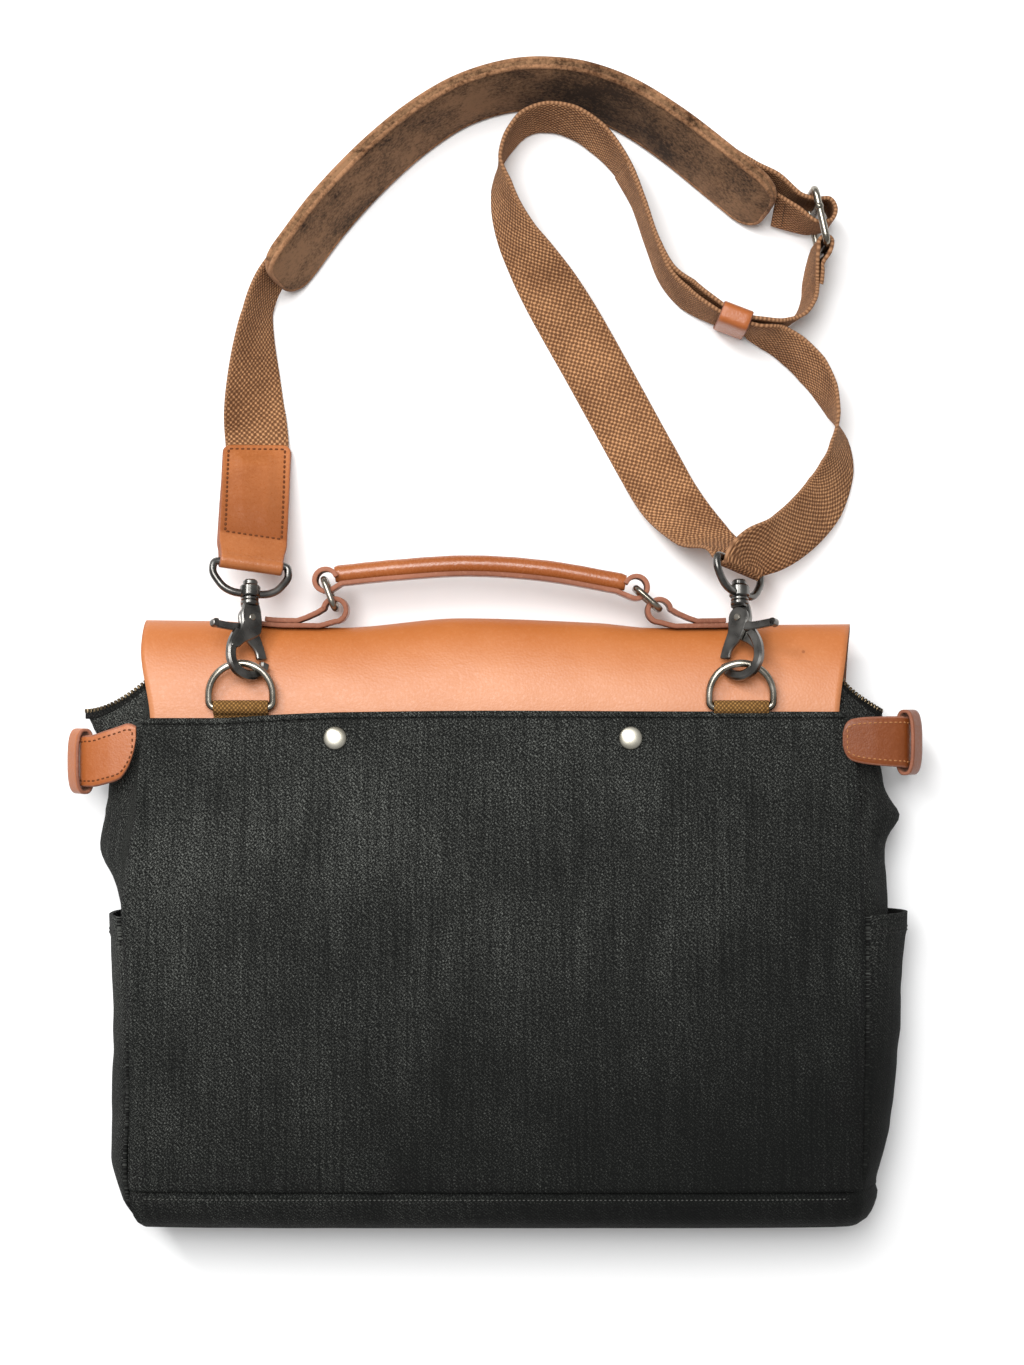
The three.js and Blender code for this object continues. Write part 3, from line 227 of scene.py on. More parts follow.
def webbing_material(name, dark, light, cell):
    """Basket weave: short raised bundles in staggered rows, paler on top."""
    shader = Shader(name, Roughness=0.92, Specular_IOR_Level=0.2)
    wander = shader.times(shader.noise(shader.uv, 190, 3, 0.6), 0.0022)
    place = shader.split(shader.uv)

    def swing(coordinate):
        turns = shader.times(shader.plus(coordinate, wander), math.pi / (cell * MM))
        return shader.math("COSINE", turns)

    raised = shader.ramp(shader.times(swing(place["X"]), swing(place["Y"])), -0.3, 0.75)
    threads = shader.streaks(shader.uv, (2400, 900, 1), 2)
    fleck = shader.streaks(shader.uv, (420, 380, 1), 2)
    drift = shader.noise(shader.uv, 30, 2, 0.5)
    tone = shader.times(raised, shader.ramp(fleck, 0.25, 0.7, 0.4, 1.15))
    tone = shader.plus(tone, shader.times(threads, 0.4))
    tone = shader.times(tone, shader.ramp(drift, 0.3, 0.7, 0.7, 1.2))
    return shader.finish(shader.mix(shader.ramp(tone, 0.1, 1.1), dark, light), None, raised, 0.7, 0.6)


def braid_material(name, dark, light):
    """Woven edge of the webbing: short threads across its length."""
    shader = Shader(name, Roughness=0.92, Specular_IOR_Level=0.2)
    waves = shader.math("SINE", shader.times(shader.split(shader.uv)["Y"], math.pi * 900))
    threads = shader.streaks(shader.uv, (900, 1500, 1), 2)
    raised = shader.ramp(shader.plus(waves, shader.times(threads, 2)), -0.6, 2.2)
    return shader.finish(shader.mix(raised, dark, light), None, raised, 0.6, 0.5)


def suede_material(name, dark, light):
    """Brushed cloth: soft mottled nap, with painted shade in soft folds and near the top of the pad's bend.
    """
    shader = Shader(name, Roughness=0.97, Specular_IOR_Level=0.1, Sheen_Weight=0.04, Sheen_Roughness=0.6)
    nap = shader.noise(shader.place, 480, 4, 0.7)
    clouds = shader.noise(shader.place, 42, 4, 0.65)
    # Painted shade: soft noise folds and the top of the pad's bend, about X = 0.06 m, darken the tone.
    folds = shader.noise(shader.place, 26, 3, 0.6)
    from_bend = shader.math("ABSOLUTE", shader.math("SUBTRACT", shader.split(shader.place)["X"], 0.06))
    tone = shader.plus(shader.times(nap, 0.6), shader.times(clouds, 0.5))
    bend_painted_shade = shader.ramp(from_bend, 0, 0.07, 0.83, 1.09)
    tone = shader.times(tone, shader.ramp(folds, 0.34, 0.6, 0.86, 1.03), bend_painted_shade)
    colour = shader.mix(shader.ramp(tone, 0.42, 0.66), dark, light)
    return shader.finish(colour, None, nap, 0.6, 0.6)


def metal_material(name, bright, worn, rough):
    """Plated metal with cloudy tarnish and fine scratches."""
    shader = Shader(name, Metallic=1.0)
    clouds = shader.noise(shader.place, 90, 2, 0.5)
    scratches = shader.streaks(shader.place, (300, 2200, 900), 2)
    colour = shader.mix(shader.ramp(clouds, 0.35, 0.68), worn, bright)
    return shader.finish(colour, shader.ramp(clouds, 0.3, 0.7, *rough), scratches, 0.05, 0.05)


def thread_material(name, dark, light):
    """Sewing thread with a fine twist."""
    shader = Shader(name, Roughness=0.75, Specular_IOR_Level=0.2)
    twist = shader.noise(shader.place, 1800, 2, 0.6)
    return shader.finish(shader.mix(twist, dark, light), None, twist, 0.4, 0.2)


CANVAS = canvas_material("canvas", (14, 15, 14), (110, 112, 107))
LINING = canvas_material("canvas_inside", (14, 14, 13), (60, 60, 57))
FLAP = flap_material()
TRIM = leather_material("trim_leather", (178, 106, 58), (150, 82, 38), (192, 122, 74), (0.26, 0.42))
GRIP = leather_material("grip_leather", (172, 100, 54), (150, 80, 38), (186, 114, 66), (0.2, 0.34))
# The end tab's leather has painted shade deepening towards the bottom of its stitched panel, where its puff
# turns from the light.
END_LEATHER = leather_material(
    "end_leather", (192, 118, 68), (142, 76, 34), (204, 134, 84), (0.24, 0.4), painted_shade_at=0.063)
FLESH = leather_material("leather_flesh", (160, 112, 88), (130, 88, 66), (180, 134, 110), (0.8, 0.95))
EDGE = leather_material("leather_edge", (166, 106, 80), (122, 70, 48), (200, 148, 122), (0.7, 0.9), 0.6)
# The two side tabs are one leather in two tones: the left, lighter tone is painted light and the right,
# darker tone is painted shade.
TAB_PAINTED_LIGHT = leather_material("tab_leather_left", (186, 108, 58), (164, 88, 40), (196, 122, 72))
TAB_PAINTED_SHADE = leather_material("tab_leather_right", (140, 72, 28), (112, 54, 16), (156, 88, 42))
WEBBING = webbing_material("webbing", (88, 52, 29), (210, 156, 110), 1.6)
WEBBING_EDGE = braid_material("webbing_edge", (96, 62, 38), (178, 132, 96))
TAB_WEBBING = webbing_material("tab_webbing", (84, 56, 24), (180, 134, 76), 1.2)
PAD = suede_material("pad_cloth", (56, 37, 22), (148, 111, 80))
PIPING = suede_material("pad_piping", (80, 52, 32), (168, 124, 90))
NICKEL = metal_material("aged_nickel", (186, 180, 168), (134, 128, 116), (0.22, 0.34))
GUNMETAL = metal_material("dark_plate", (138, 136, 132), (92, 90, 87), (0.22, 0.34))
RIVET_METAL = metal_material("rivet_metal", (226, 222, 208), (200, 194, 176), (0.32, 0.44))
ZIP_METAL = metal_material("zip_metal", (150, 132, 104), (70, 60, 48), (0.25, 0.45))
BROWN_THREAD = thread_material("brown_thread", (66, 32, 14), (128, 72, 36))
TAN_THREAD = thread_material("tan_thread", (128, 74, 38), (206, 144, 94))
BLACK_THREAD = thread_material("black_thread", (10, 10, 10), (56, 55, 53))
PALE_THREAD = thread_material("grey_thread", (28, 28, 27), (104, 104, 100))
PAD_THREAD = thread_material("pad_thread", (50, 34, 22), (96, 70, 48))


# Meshes


def put(node, name, shape, materials, sharp=None, body="bag"):
    """Adds a mesh of points in millimetres, faces, UVs and material numbers, in place of a node or none."""
    points, faces, uvs, kinds = shape
    mesh = bpy.data.meshes.new(name)
    mesh.from_pydata([tuple(Vector(p) * MM) for p in points], [], faces)
    mesh.polygons.foreach_set("use_smooth", [True] * len(mesh.polygons))
    if kinds:
        mesh.polygons.foreach_set("material_index", kinds)
    if uvs:
        layer = mesh.uv_layers.new(name="UVMap")
        for loop in mesh.loops:
            layer.data[loop.index].uv = uvs[loop.vertex_index]
    if sharp:
        mesh.set_sharp_from_angle(angle=math.radians(sharp))
    for material in materials:
        mesh.materials.append(material)
    piece = bpy.data.objects.new(name, mesh)
    bpy.context.scene.collection.objects.link(piece)
    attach(piece, body)
    if node:
        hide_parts(node)
    return piece


def joined(*shapes):
    """One shape of several."""
    points, faces, uvs, kinds = [], [], [], []
    for some_points, some_faces, some_uvs, some_kinds in shapes:
        start = len(points)
        points += some_points
        faces += [tuple(start + v for v in face) for face in some_faces]
        uvs += some_uvs or [(0, 0)] * len(some_points)
        kinds += some_kinds or [0] * len(some_faces)
    return points, faces, uvs, kinds


def placed(shape, matrix):
    points, faces, uvs, kinds = shape
    return [matrix @ Vector(p) for p in points], faces, uvs, kinds


def one_material(shape, number):
    return *shape[:3], [number] * len(shape[1])


def axes(first, second, third, place):
    """Matrix of three directions and a place."""
    matrix = Matrix((first, second, third)).transposed().to_4x4()
    matrix.translation = Vector(place)
    return matrix


def circle(sides):
    return [2 * math.pi * k / sides for k in range(sides)]


def runs(points):
    """Length along a line at each of its points."""
    lengths = [0]
    for a, b in zip(points, points[1:]):
        lengths.append(lengths[-1] + (b - a).length)
    return lengths


def heading_at(line, i, closed=False):
    """Direction from the point before one on a line to the point after it."""
    count = len(line)
    ahead = line[(i + 1) % count] if closed else line[min(i + 1, count - 1)]
    behind = line[i - 1] if closed else line[max(i - 1, 0)]
    return (ahead - behind).normalized()


def smooth_value(rows, at, column=1):
    """Value of a table whose rows start with their place, smooth and without overshoot between rows."""
    last = len(rows) - 1
    if at <= rows[0][0]:
        return rows[0][column]
    if at >= rows[last][0]:
        return rows[last][column]
    i = max(k for k in range(last) if rows[k][0] <= at)

    def slope(k):
        return (rows[k + 1][column] - rows[k][column]) / (rows[k + 1][0] - rows[k][0])

    def tangent(k):
        if k in (0, last):
            return slope(0) if k == 0 else slope(last - 1)
        before, after = slope(k - 1), slope(k)
        return 2 * before * after / (before + after) if before * after > 0 else 0

    run = rows[i + 1][0] - rows[i][0]
    t = (at - rows[i][0]) / run
    rise = rows[i][column] + (rows[i + 1][column] - rows[i][column]) * t * t * (3 - 2 * t)
    return rise + run * (tangent(i) * t * (1 - t) ** 2 - tangent(i + 1) * t * t * (1 - t))


def step_up(at, low, high):
    share = min(max((at - low) / (high - low), 0), 1)
    return share * share * (3 - 2 * share)


def ripple(x, y, z, size, seed=0):
    """Smooth noise of about -1 to 1 with lumps of the given size."""
    return noise.noise(Vector((x / size + seed * 7.3, y / size - seed * 3.1, z / size + seed * 5.7)))


def spaced(start, end, count):
    return [start + (end - start) * k / count for k in range(count + 1)]


def smooth_line(points, steps, closed=False):
    """Points on a centripetal curve through the given ones, with a number of steps for each span."""
    line = []
    count = len(points)
    for i in range(count if closed else count - 1):
        p1, p2 = points[i], points[(i + 1) % count]
        p0 = points[i - 1] if i or closed else p1 * 2 - p2
        p3 = points[(i + 2) % count] if i + 2 < count or closed else p2 * 2 - p1
        pairs = ((p0, p1), (p1, p2), (p2, p3))
        t0, t1, t2 = (max(math.sqrt((b - a).length), 1e-4) for a, b in pairs)
        m1 = ((p1 - p0) / t0 - (p2 - p0) / (t0 + t1) + (p2 - p1) / t1) * t1
        m2 = ((p2 - p1) / t1 - (p3 - p1) / (t1 + t2) + (p3 - p2) / t2) * t1
        for k in range(steps):
            t = k / steps
            line.append(p1 * (2 * t ** 3 - 3 * t ** 2 + 1) + m1 * (t ** 3 - 2 * t ** 2 + t)
                        + p2 * (3 * t ** 2 - 2 * t ** 3) + m2 * (t ** 3 - t ** 2))
    if not closed:
        line.append(points[-1].copy())
    return line


def loft(rings, closed=False, uvs=None):
    """Skin over rings of equal count, capped at both ends or closed into a loop."""
    count = len(rings[0])
    points = [p for ring in rings for p in ring]
    faces = []
    for i in range(len(rings) if closed else len(rings) - 1):
        start, end = i * count, ((i + 1) % len(rings)) * count
        for k in range(count):
            j = (k + 1) % count
            faces.append((start + k, start + j, end + j, end + k))
    if not closed:
        faces.append(tuple(reversed(range(count))))
        faces.append(tuple(range(len(points) - count, len(points))))
    return points, faces, uvs, None


def sheet(outer, inner, uvs):
    """Cloth between two grids of points, with material 0 outside, 1 inside and 2 on its edges."""
    rows, columns = len(outer), len(outer[0])
    points = [p for row in outer for p in row] + [p for row in inner for p in row]
    under = rows * columns
    faces, kinds = [], []
    for i in range(rows - 1):
        for j in range(columns - 1):
            a = i * columns + j
            b = a + columns
            faces += [(a, a + 1, b + 1, b), (under + a, under + b, under + b + 1, under + a + 1)]
            kinds += [0, 1]
    rim = list(range(columns))
    rim += [i * columns + columns - 1 for i in range(1, rows)]
    rim += [(rows - 1) * columns + j for j in range(columns - 2, -1, -1)]
    rim += [i * columns for i in range(rows - 2, 0, -1)]
    for a, b in zip(rim, rim[1:] + rim[:1]):
        faces.append((b, a, under + a, under + b))
        kinds.append(2)
    flat = [uv for row in uvs for uv in row]
    return points, faces, flat + flat, kinds


def wire(line, radius, sides=14, closed=False):
    """Round wire along a line."""
    rings = []
    side = None
    for i, centre in enumerate(line):
        heading = heading_at(line, i, closed)
        side = heading.orthogonal().normalized() if side is None else side
        side = (side - heading * side.dot(heading)).normalized()
        other = heading.cross(side)
        size = radius(i / (len(line) - 1)) if callable(radius) else radius
        rings.append([centre + (side * math.cos(t) + other * math.sin(t)) * size for t in circle(sides)])
    return loft(rings, closed)


def flat_wire(outline, radius, sides=14):
    """Round wire along a closed outline in the XY plane."""
    line = [Vector(p) for p in outline]
    rings = []
    for i, (x, y) in enumerate(outline):
        heading = heading_at(line, i, True) * radius
        rings.append([
            Vector((x + heading.y * math.cos(t), y - heading.x * math.cos(t), radius * math.sin(t)))
            for t in circle(sides)])
    return loft(rings, True)


def turned(profile, sides=32, closed=False):
    """Solid of a profile of radius and height pairs round the Y axis, from axis to axis or closed."""
    rings = []
    for radius, height in profile:
        size = max(radius, 0.02)
        rings.append([Vector((size * math.cos(t), height, size * math.sin(t))) for t in circle(sides)])
    return loft(rings, closed)


def rounded_box_outline(half_x, half_y, radius, steps=8):
    outline = []
    for corner in range(4):
        x = (1 if corner in (0, 3) else -1) * (half_x - radius)
        y = (1 if corner < 2 else -1) * (half_y - radius)
        for k in range(steps + 1):
            turn = (corner + k / steps) * math.pi / 2
            outline.append((x + radius * math.cos(turn), y + radius * math.sin(turn)))
    return outline


def soft_outline(corners, steps=5):
    line = smooth_line([Vector((x, y, 0)) for x, y in corners], steps, True)
    return [(p.x, p.y) for p in line]


def plate(outline, low, high, bevel=0.5):
    """Flat plate of an outline with bevelled edges."""
    line = [Vector(p) for p in outline]
    area = sum(a.cross(b) for a, b in zip(line, line[1:] + line[:1]))
    side = math.copysign(bevel, area)
    inset = []
    for i, (x, y) in enumerate(outline):
        heading = heading_at(line, i, True)
        inset.append((x - heading.y * side, y + heading.x * side))
    levels = ((inset, low), (outline, low + bevel), (outline, high - bevel), (inset, high))
    return loft([[Vector((x, y, z)) for x, y in ring] for ring, z in levels])


def band(frames, widths, thick, bevel=0.4, across=6, closed=False, relief=None):
    """Flat band along frames of centre, edge and face: material 0 face, 1 cut edges, 2 back.

    A width is one number, or the two reaches of the band along its edge direction. Relief raises the face.
    """
    rings, uvs = [], []
    run = 0
    for i, (centre, edge, face) in enumerate(frames):
        run += (centre - frames[i - 1][0]).length if i else 0
        width = widths[i] if isinstance(widths, list) else widths
        low, high = width if isinstance(width, tuple) else (-width / 2, width / 2)
        outline = []
        for sign, start, end in ((1, high - bevel, low + bevel), (-1, low + bevel, high - bevel)):
            outline += [(start + (end - start) * k / across, sign * thick / 2) for k in range(across + 1)]
            rim = low if sign > 0 else high
            outline += [(rim, sign * (thick / 2 - bevel)), (rim, -sign * (thick / 2 - bevel))]
        rings.append([])
        for n, (e, f) in enumerate(outline):
            raised = relief(run, e) if relief and n <= across else 0
            rings[-1].append(centre + edge * e + face * (f + raised))
            uvs.append(((e - low) * MM, run * MM))
    span = [0] * across + [1] * 3 + [2] * across + [1] * 3
    kinds = span * len(frames) if closed else span * (len(frames) - 1) + [1, 1]
    return *loft(rings, closed, uvs)[:3], kinds


def line_frames(line, edge, closed=False):
    """Frames along a line whose edge direction stays the same."""
    return [(p, edge, heading_at(line, i, closed).cross(edge).normalized()) for i, p in enumerate(line)]


# A stitch: place along it as a share of its length, and size and rise as shares of the thread's radius
STITCH = ((-0.5, 0.35, -0.6), (-0.28, 1, 0.15), (0.28, 1, 0.15), (0.5, 0.35, -0.6))
STITCH_SIDES = 6
STITCH_FLATNESS = 0.8
# Pitch and length of the stitches of each seam, and the thread's radius on the leather
CANVAS_STITCH = (3.4, 2.4)
BASE_STITCH = (2.6, 1.5)
STRAP_STITCH = (3.2, 2.3)
TAB_STITCH = (3, 2.2, 0.46)
END_STITCH = (3.3, 2.4, 0.62)


def add_stitches(slot, name, thread, lines, pitch, length, radius=0.4, sink=0):
    """Short rounded threads along lines of point and normal pairs."""
    shapes = []
    for line in lines:
        run = runs([p for p, _ in line])
        count = max(int(run[-1] / pitch), 1)
        i = 0
        for n in range(count):
            middle = (n + 0.5) * run[-1] / count
            while run[i + 1] < middle:
                i += 1
            share = (middle - run[i]) / max(run[i + 1] - run[i], 1e-6)
            centre = line[i][0].lerp(line[i + 1][0], share)
            up = line[i][1].lerp(line[i + 1][1], share).normalized()
            heading = (line[i + 1][0] - line[i][0]).normalized()
            side = heading.cross(up).normalized()
            rings = []
            for place, size, rise in STITCH:
                hub = centre + heading * (place * length) + up * (radius * rise - sink)
                wide = side * (radius * size)
                deep = up * (radius * size * STITCH_FLATNESS)
                rings.append([hub + wide * math.cos(t) + deep * math.sin(t) for t in circle(STITCH_SIDES)])
            shapes.append(loft(rings))
    put(None, name, joined(*shapes), [thread])


# Body: y, heights of the back and front, X of the left and right seams and gussets, hang of the gussets
BODY = [
    (-197, 58, 24, -205, 207, -208, 215, 0), (-191, 72, 8, -207.5, 209, -211, 221, 0),
    (-178, 80.5, 0.6, -210, 210, -214, 224.5, 0), (-160, 81.9, 0, -211, 211, -216, 221, 0),
    (-120, 82.4, 0, -209, 211, -217, 225, 0), (-72, 80.2, 0, -209, 212, -217, 229, 0),
    (-58, 79.3, 2.6, -210, 212, -218, 229, 0), (-10, 75.6, 2.6, -215, 212, -220, 232, 0),
    (25, 71.4, 2.6, -213, 212, -233, 230, 0), (45, 68.2, 2.6, -210, 212, -231, 238, 2),
    (62, 63, 2.6, -207, 211, -228.5, 230, 4), (75, 59.4, 2.6, -206, 209, -229, 229, 8),
    (100, 55, 2.8, -203, 206, -226, 227, 18), (112, 52.6, 5, -200, 204, -236, 231, 22),
    (128, 48, 9, -196, 200, -242, 230, 26),
]
BODY_FOOT = -197
BODY_MOUTH = 128
BODY_ROWS = 86
WALL_STEPS = 64
GUSSET_STEPS = 30
SEAM_DROP = 5
GUSSET_FULLNESS = 0.72
CANVAS_THICK = 2
POCKET_MOUTH = -14
BASE_SEAM = -175
BASE_PROUD = 2.4
BASE_INSIDE = -170
# Base from its middle out: share of the section's height, and how far it stands past the foot
BASE_CLOSING = [(0.04, 2.2), (0.5, 1.9), (0.85, 1)]


def crown(x, left, right):
    return SEAM_DROP * abs((x - (left + right) / 2) / ((right - left) / 2)) ** 6


def body_relief(x, y, z, wall):
    """How far the cloth stands out of the plain section: the base strip, folds and soft dents."""
    base = BASE_PROUD * (1 - step_up(y, BASE_SEAM - 0.7, BASE_SEAM + 0.7))
    if wall == "back":
        if y < BASE_SEAM + 1:
            return base + 0.5 * ripple(x, y, z, 26, 4)
        return -1.4 * (1 - step_up(y, 98, 104))
    if wall == "front":
        return 0
    loose = 0.3 + 0.7 * step_up(y, POCKET_MOUTH - 4, POCKET_MOUTH + 22)
    folds = 0.4 + 1.6 * ripple(x * 0.4, y, z, 30, 1) + 0.9 * ripple(x, y * 1.4, z, 13, 2)
    return base * 0.4 + loose * folds


def body_ring(y, inset):
    """Closed section of the body at a height along Y, with folds in its gussets."""
    back, front, left, right, side_left, side_right, dip = (smooth_value(BODY, y, c) for c in range(1, 8))
    outline = []
    for k in range(WALL_STEPS):
        x = left + (right - left) * k / WALL_STEPS
        outline.append((x, back - crown(x, left, right), 0, "back"))

    def gusset(seam, side, low, high):
        for k in range(GUSSET_STEPS):
            t = k / GUSSET_STEPS
            swell = math.sin(math.pi * t) ** GUSSET_FULLNESS
            hang = -dip * (swell ** 0.6 if side > 0 else 1 - (1 - swell) ** 1.7)
            outline.append((seam + (side - seam) * swell, low + (high - low) * t, hang, "gusset"))

    gusset(right, side_right, back - SEAM_DROP, front)
    for k in range(WALL_STEPS):
        outline.append((right + (left - right) * k / WALL_STEPS, front, 0, "front"))
    gusset(left, side_left, front, back - SEAM_DROP)
    ring = []
    count = len(outline)
    for i, (x, z, hang, wall) in enumerate(outline):
        ahead, behind = outline[(i + 1) % count], outline[i - 1]
        run = math.hypot(ahead[0] - behind[0], ahead[1] - behind[1])
        out = Vector((-(ahead[1] - behind[1]) / run, 0, (ahead[0] - behind[0]) / run))
        proud = body_relief(x, y, z, wall) - inset
        ring.append(Vector((x, y + hang, z)) + out * proud)
    return ring


def add_body():
    heights = spaced(BODY_FOOT, BODY_MOUTH, BODY_ROWS)
    outer = [body_ring(y, 0) for y in heights]
    inner = [body_ring(y + (CANVAS_THICK if y < BASE_INSIDE else 0), CANVAS_THICK) for y in heights]
    middle = (BODY[0][1] + BODY[0][2]) / 2

    def closing(ring, share, deeper):
        narrow = 0.96 + 0.04 * share
        return [Vector((p.x * narrow, p.y - deeper, middle + (p.z - middle) * share)) for p in ring]

    caps = [closing(outer[0], *row) for row in BASE_CLOSING]
    inner_caps = [closing(inner[0], *row) for row in BASE_CLOSING[::-1]]
    rings = caps + outer + inner[::-1] + inner_caps
    uvs = []
    for n, ring in enumerate(rings):
        rim = outer[0] if n < len(caps) else ring
        run = 0
        for i, p in enumerate(ring):
            run += (rim[i] - rim[i - 1]).length if i else 0
            uvs.append((run * MM, (p.y - abs(p.z - rim[i].z)) * MM))
    points, faces, uvs, _ = loft(rings, False, uvs)
    inside = len(rings[0]) * (len(caps) + len(outer))
    kinds = [1 if min(face) >= inside else 0 for face in faces]
    put("body", "body_shell", (points, faces, uvs, kinds), [CANVAS, LINING])
    add_zip(outer[-1])


TOOTH_HALF = (0.75, 1.2, 1.1)
TOOTH_PITCH = 2.5
TAPE_WIDTH = 5
TAPE_THICK = 1.2


def add_zip(rim):
    """Zip teeth along the mouth, on a dark tape."""
    toward = Vector((0, 1, 0))
    line = [p + toward * 1.2 for p in rim]
    frames = [(centre - toward * 1.4, edge, face) for centre, edge, face in line_frames(line, toward, True)]
    tape = band(frames, TAPE_WIDTH, TAPE_THICK, 0.3, 2, True)
    wide, high, deep = TOOTH_HALF
    tooth = plate(rounded_box_outline(wide, high, 0.4, 2), -deep, deep, 0.3)
    shapes = []
    gone = 0
    for a, b in zip(line, line[1:] + line[:1]):
        length = (b - a).length
        heading = (b - a).normalized()
        side = heading.cross(toward).normalized()
        rise = side.cross(heading)
        while gone < length:
            place = a.lerp(b, gone / length) + rise * 0.9
            shapes.append(placed(tooth, axes(heading, rise, side, place)))
            gone += TOOTH_PITCH
        gone -= length
    put(None, "zip_tape", tape, [LINING] * 3)
    put(None, "zip_teeth", joined(*shapes), [ZIP_METAL], 30)


# Back panel: heights of its outer face along Y, and its left and right edges
PANEL_HEIGHTS = [(-173, 84.3), (-120, 85), (-40, 81.4), (30, 73.5), (70, 66.8), (102, 63.7)]
PANEL_LEFT = [(-173, -212.4), (-100, -211.7), (-10, -217), (55, -208.6), (102, -206)]
PANEL_RIGHT = [(-173, 213.2), (-10, 215), (60, 212), (102, 203.5)]
PANEL_SEAM = -173
PANEL_HEM = 102
PANEL_ROWS = 130
PANEL_COLUMNS = 150
HEM_WIDTH = 4.2
HEM_DROP = 2
HEM_SHIFT = [(-206, -1.7), (-165, -1.7), (-125, 0.4), (-90, 1.7), (0, 2.6), (100, 2.2), (203, 2)]
RIVETS = [("left", -93, 88.7), ("right", 79, 88.7)]
RIVET_RADIUS = 6.8
# From left to right: ends of the stitches along the hem and the base, and the base's own sides
HEM_SEWN = (-201, 200)
BASE_SEWN = (-203, 203)
BASE_SIDES = (-210, 210)
SEWN_STEPS = 160


def panel_sides(y):
    return smooth_value(PANEL_LEFT, y), smooth_value(PANEL_RIGHT, y)


def plain_panel_height(x, y):
    toward_hem = step_up(y, 20, PANEL_HEM)
    drop = (SEAM_DROP + (HEM_DROP - SEAM_DROP) * toward_hem) / SEAM_DROP
    return smooth_value(PANEL_HEIGHTS, y) - crown(x, *panel_sides(y)) * drop * 0.94


def panel_height(x, y):
    """Height of the panel's face with its soft dents, puckered seams and folded hem."""
    left, right = panel_sides(y)
    to_side = max(min(x - left, right - x), 0)
    to_seam = max(y - PANEL_SEAM, 0)
    to_hem = max(PANEL_HEM - y, 0)
    soft = 0.55 + 0.9 * ripple(x * 0.8, y * 0.7, 0, 62, 3) + 0.35 * ripple(x, y, 0, 24, 5)
    pucker = 0.3 * ripple(x * 0.25, y, 0, 12, 6) * math.exp(-to_side / 12)
    pucker += 0.4 * ripple(x, y * 0.25, 0, 7, 7) * math.exp(-to_seam / 9)
    pucker += 0.3 * ripple(x, y * 0.25, 0, 6, 8) * math.exp(-abs(to_hem - HEM_WIDTH) / 9)
    for _, rivet_x, rivet_y in RIVETS:
        near = math.exp(-((x - rivet_x) ** 2 + (y - rivet_y) ** 2) / 130)
        soft *= 1 - near
        pucker -= 0.25 * near
    hem = 1.3 * (1 - step_up(to_hem, HEM_WIDTH - 1.2, HEM_WIDTH))
    hem -= 1.2 * math.exp(-((to_hem - HEM_WIDTH) / 0.9) ** 2)
    wrap = 1.3 + 3.9 * (1 - step_up(y, 30, 70))
    fall = wrap * math.exp(-to_side / 2.8) + 2.2 * math.exp(-to_seam / 1.8) + 1.1 * math.exp(-to_hem / 0.8)
    return plain_panel_height(x, y) + soft + pucker + hem - fall


def panel_point(x, y):
    """Point of the panel's face, with its hem drawn up or down along X."""
    shift = smooth_value(HEM_SHIFT, x) * step_up(y, 40, PANEL_HEM)
    return Vector((x, y + shift, panel_height(x, y)))


def panel_line(points):
    """Stitch line on the panel's face, of point and normal pairs."""
    line = []
    for x, y in points:
        rise_x = panel_height(x + 1, y) - panel_height(x - 1, y)
        rise_y = panel_height(x, y + 1) - panel_height(x, y - 1)
        line.append((panel_point(x, y), Vector((-rise_x / 2, -rise_y / 2, 1)).normalized()))
    return line


def panel_rows():
    """Rows along Y, closer together at the seam and the hem."""
    seam = [PANEL_SEAM + 0.5 * k for k in range(8)]
    hem = [PANEL_HEM - 0.35 * k for k in range(22)][::-1]
    return seam + spaced(seam[-1], hem[0], PANEL_ROWS)[1:-1] + hem


def add_panel():
    outer, inner, uvs = [], [], []
    shares = [0.5 - 0.5 * math.cos(math.pi * k / PANEL_COLUMNS) for k in range(PANEL_COLUMNS + 1)]
    for y in panel_rows():
        left, right = panel_sides(y)
        xs = [left + (right - left) * share for share in shares]
        face = [panel_point(x, y) for x in xs]
        outer.append(face)
        under = [min(plain_panel_height(x, y) - CANVAS_THICK, p.z - 0.6) for x, p in zip(xs, face)]
        inner.append([Vector((p.x, p.y, z)) for p, z in zip(face, under)])
        uvs.append([(x * MM, y * MM) for x in xs])
    put("back_panel", "back_panel_cloth", sheet(outer, inner, uvs), [CANVAS, LINING, CANVAS])
    hem = panel_line([(x, PANEL_HEM - HEM_WIDTH) for x in spaced(*HEM_SEWN, SEWN_STEPS)])
    add_stitches("canvas", "hem_stitches", BLACK_THREAD, [hem], *CANVAS_STITCH)
    base_y = BASE_SEAM - 2
    base = []
    for x in spaced(*BASE_SEWN, SEWN_STEPS):
        height = smooth_value(BODY, base_y, 1) - crown(x, *BASE_SIDES) + BASE_PROUD
        base.append((Vector((x, base_y, height)), Vector((0, -0.1, 1)).normalized()))
    add_stitches("canvas", "base_stitches", PALE_THREAD, [base], *BASE_STITCH, sink=-0.2)


def add_rivets():
    profile = [(0, 0), (RIVET_RADIUS - 0.2, 0), (RIVET_RADIUS, 0.3), (RIVET_RADIUS, 0.7)]
    profile += [(RIVET_RADIUS * math.cos(t), 0.8 + 2.4 * math.sin(t)) for t in spaced(0.08, math.pi / 2, 12)]
    for side, x, y in RIVETS:
        rise = plain_panel_height(x, y + RIVET_RADIUS) - plain_panel_height(x, y - RIVET_RADIUS)
        matrix = Matrix.Translation((x, y, plain_panel_height(x, y) + 0.4))
        matrix = matrix @ Matrix.Rotation(math.atan(rise / (2 * RIVET_RADIUS)) + math.pi / 2, 4, "X")
        dome = placed(turned(profile, 40), matrix)
        put(f"rivet_{side}", f"rivet_dome_{side}", dome, [RIVET_METAL], 40)


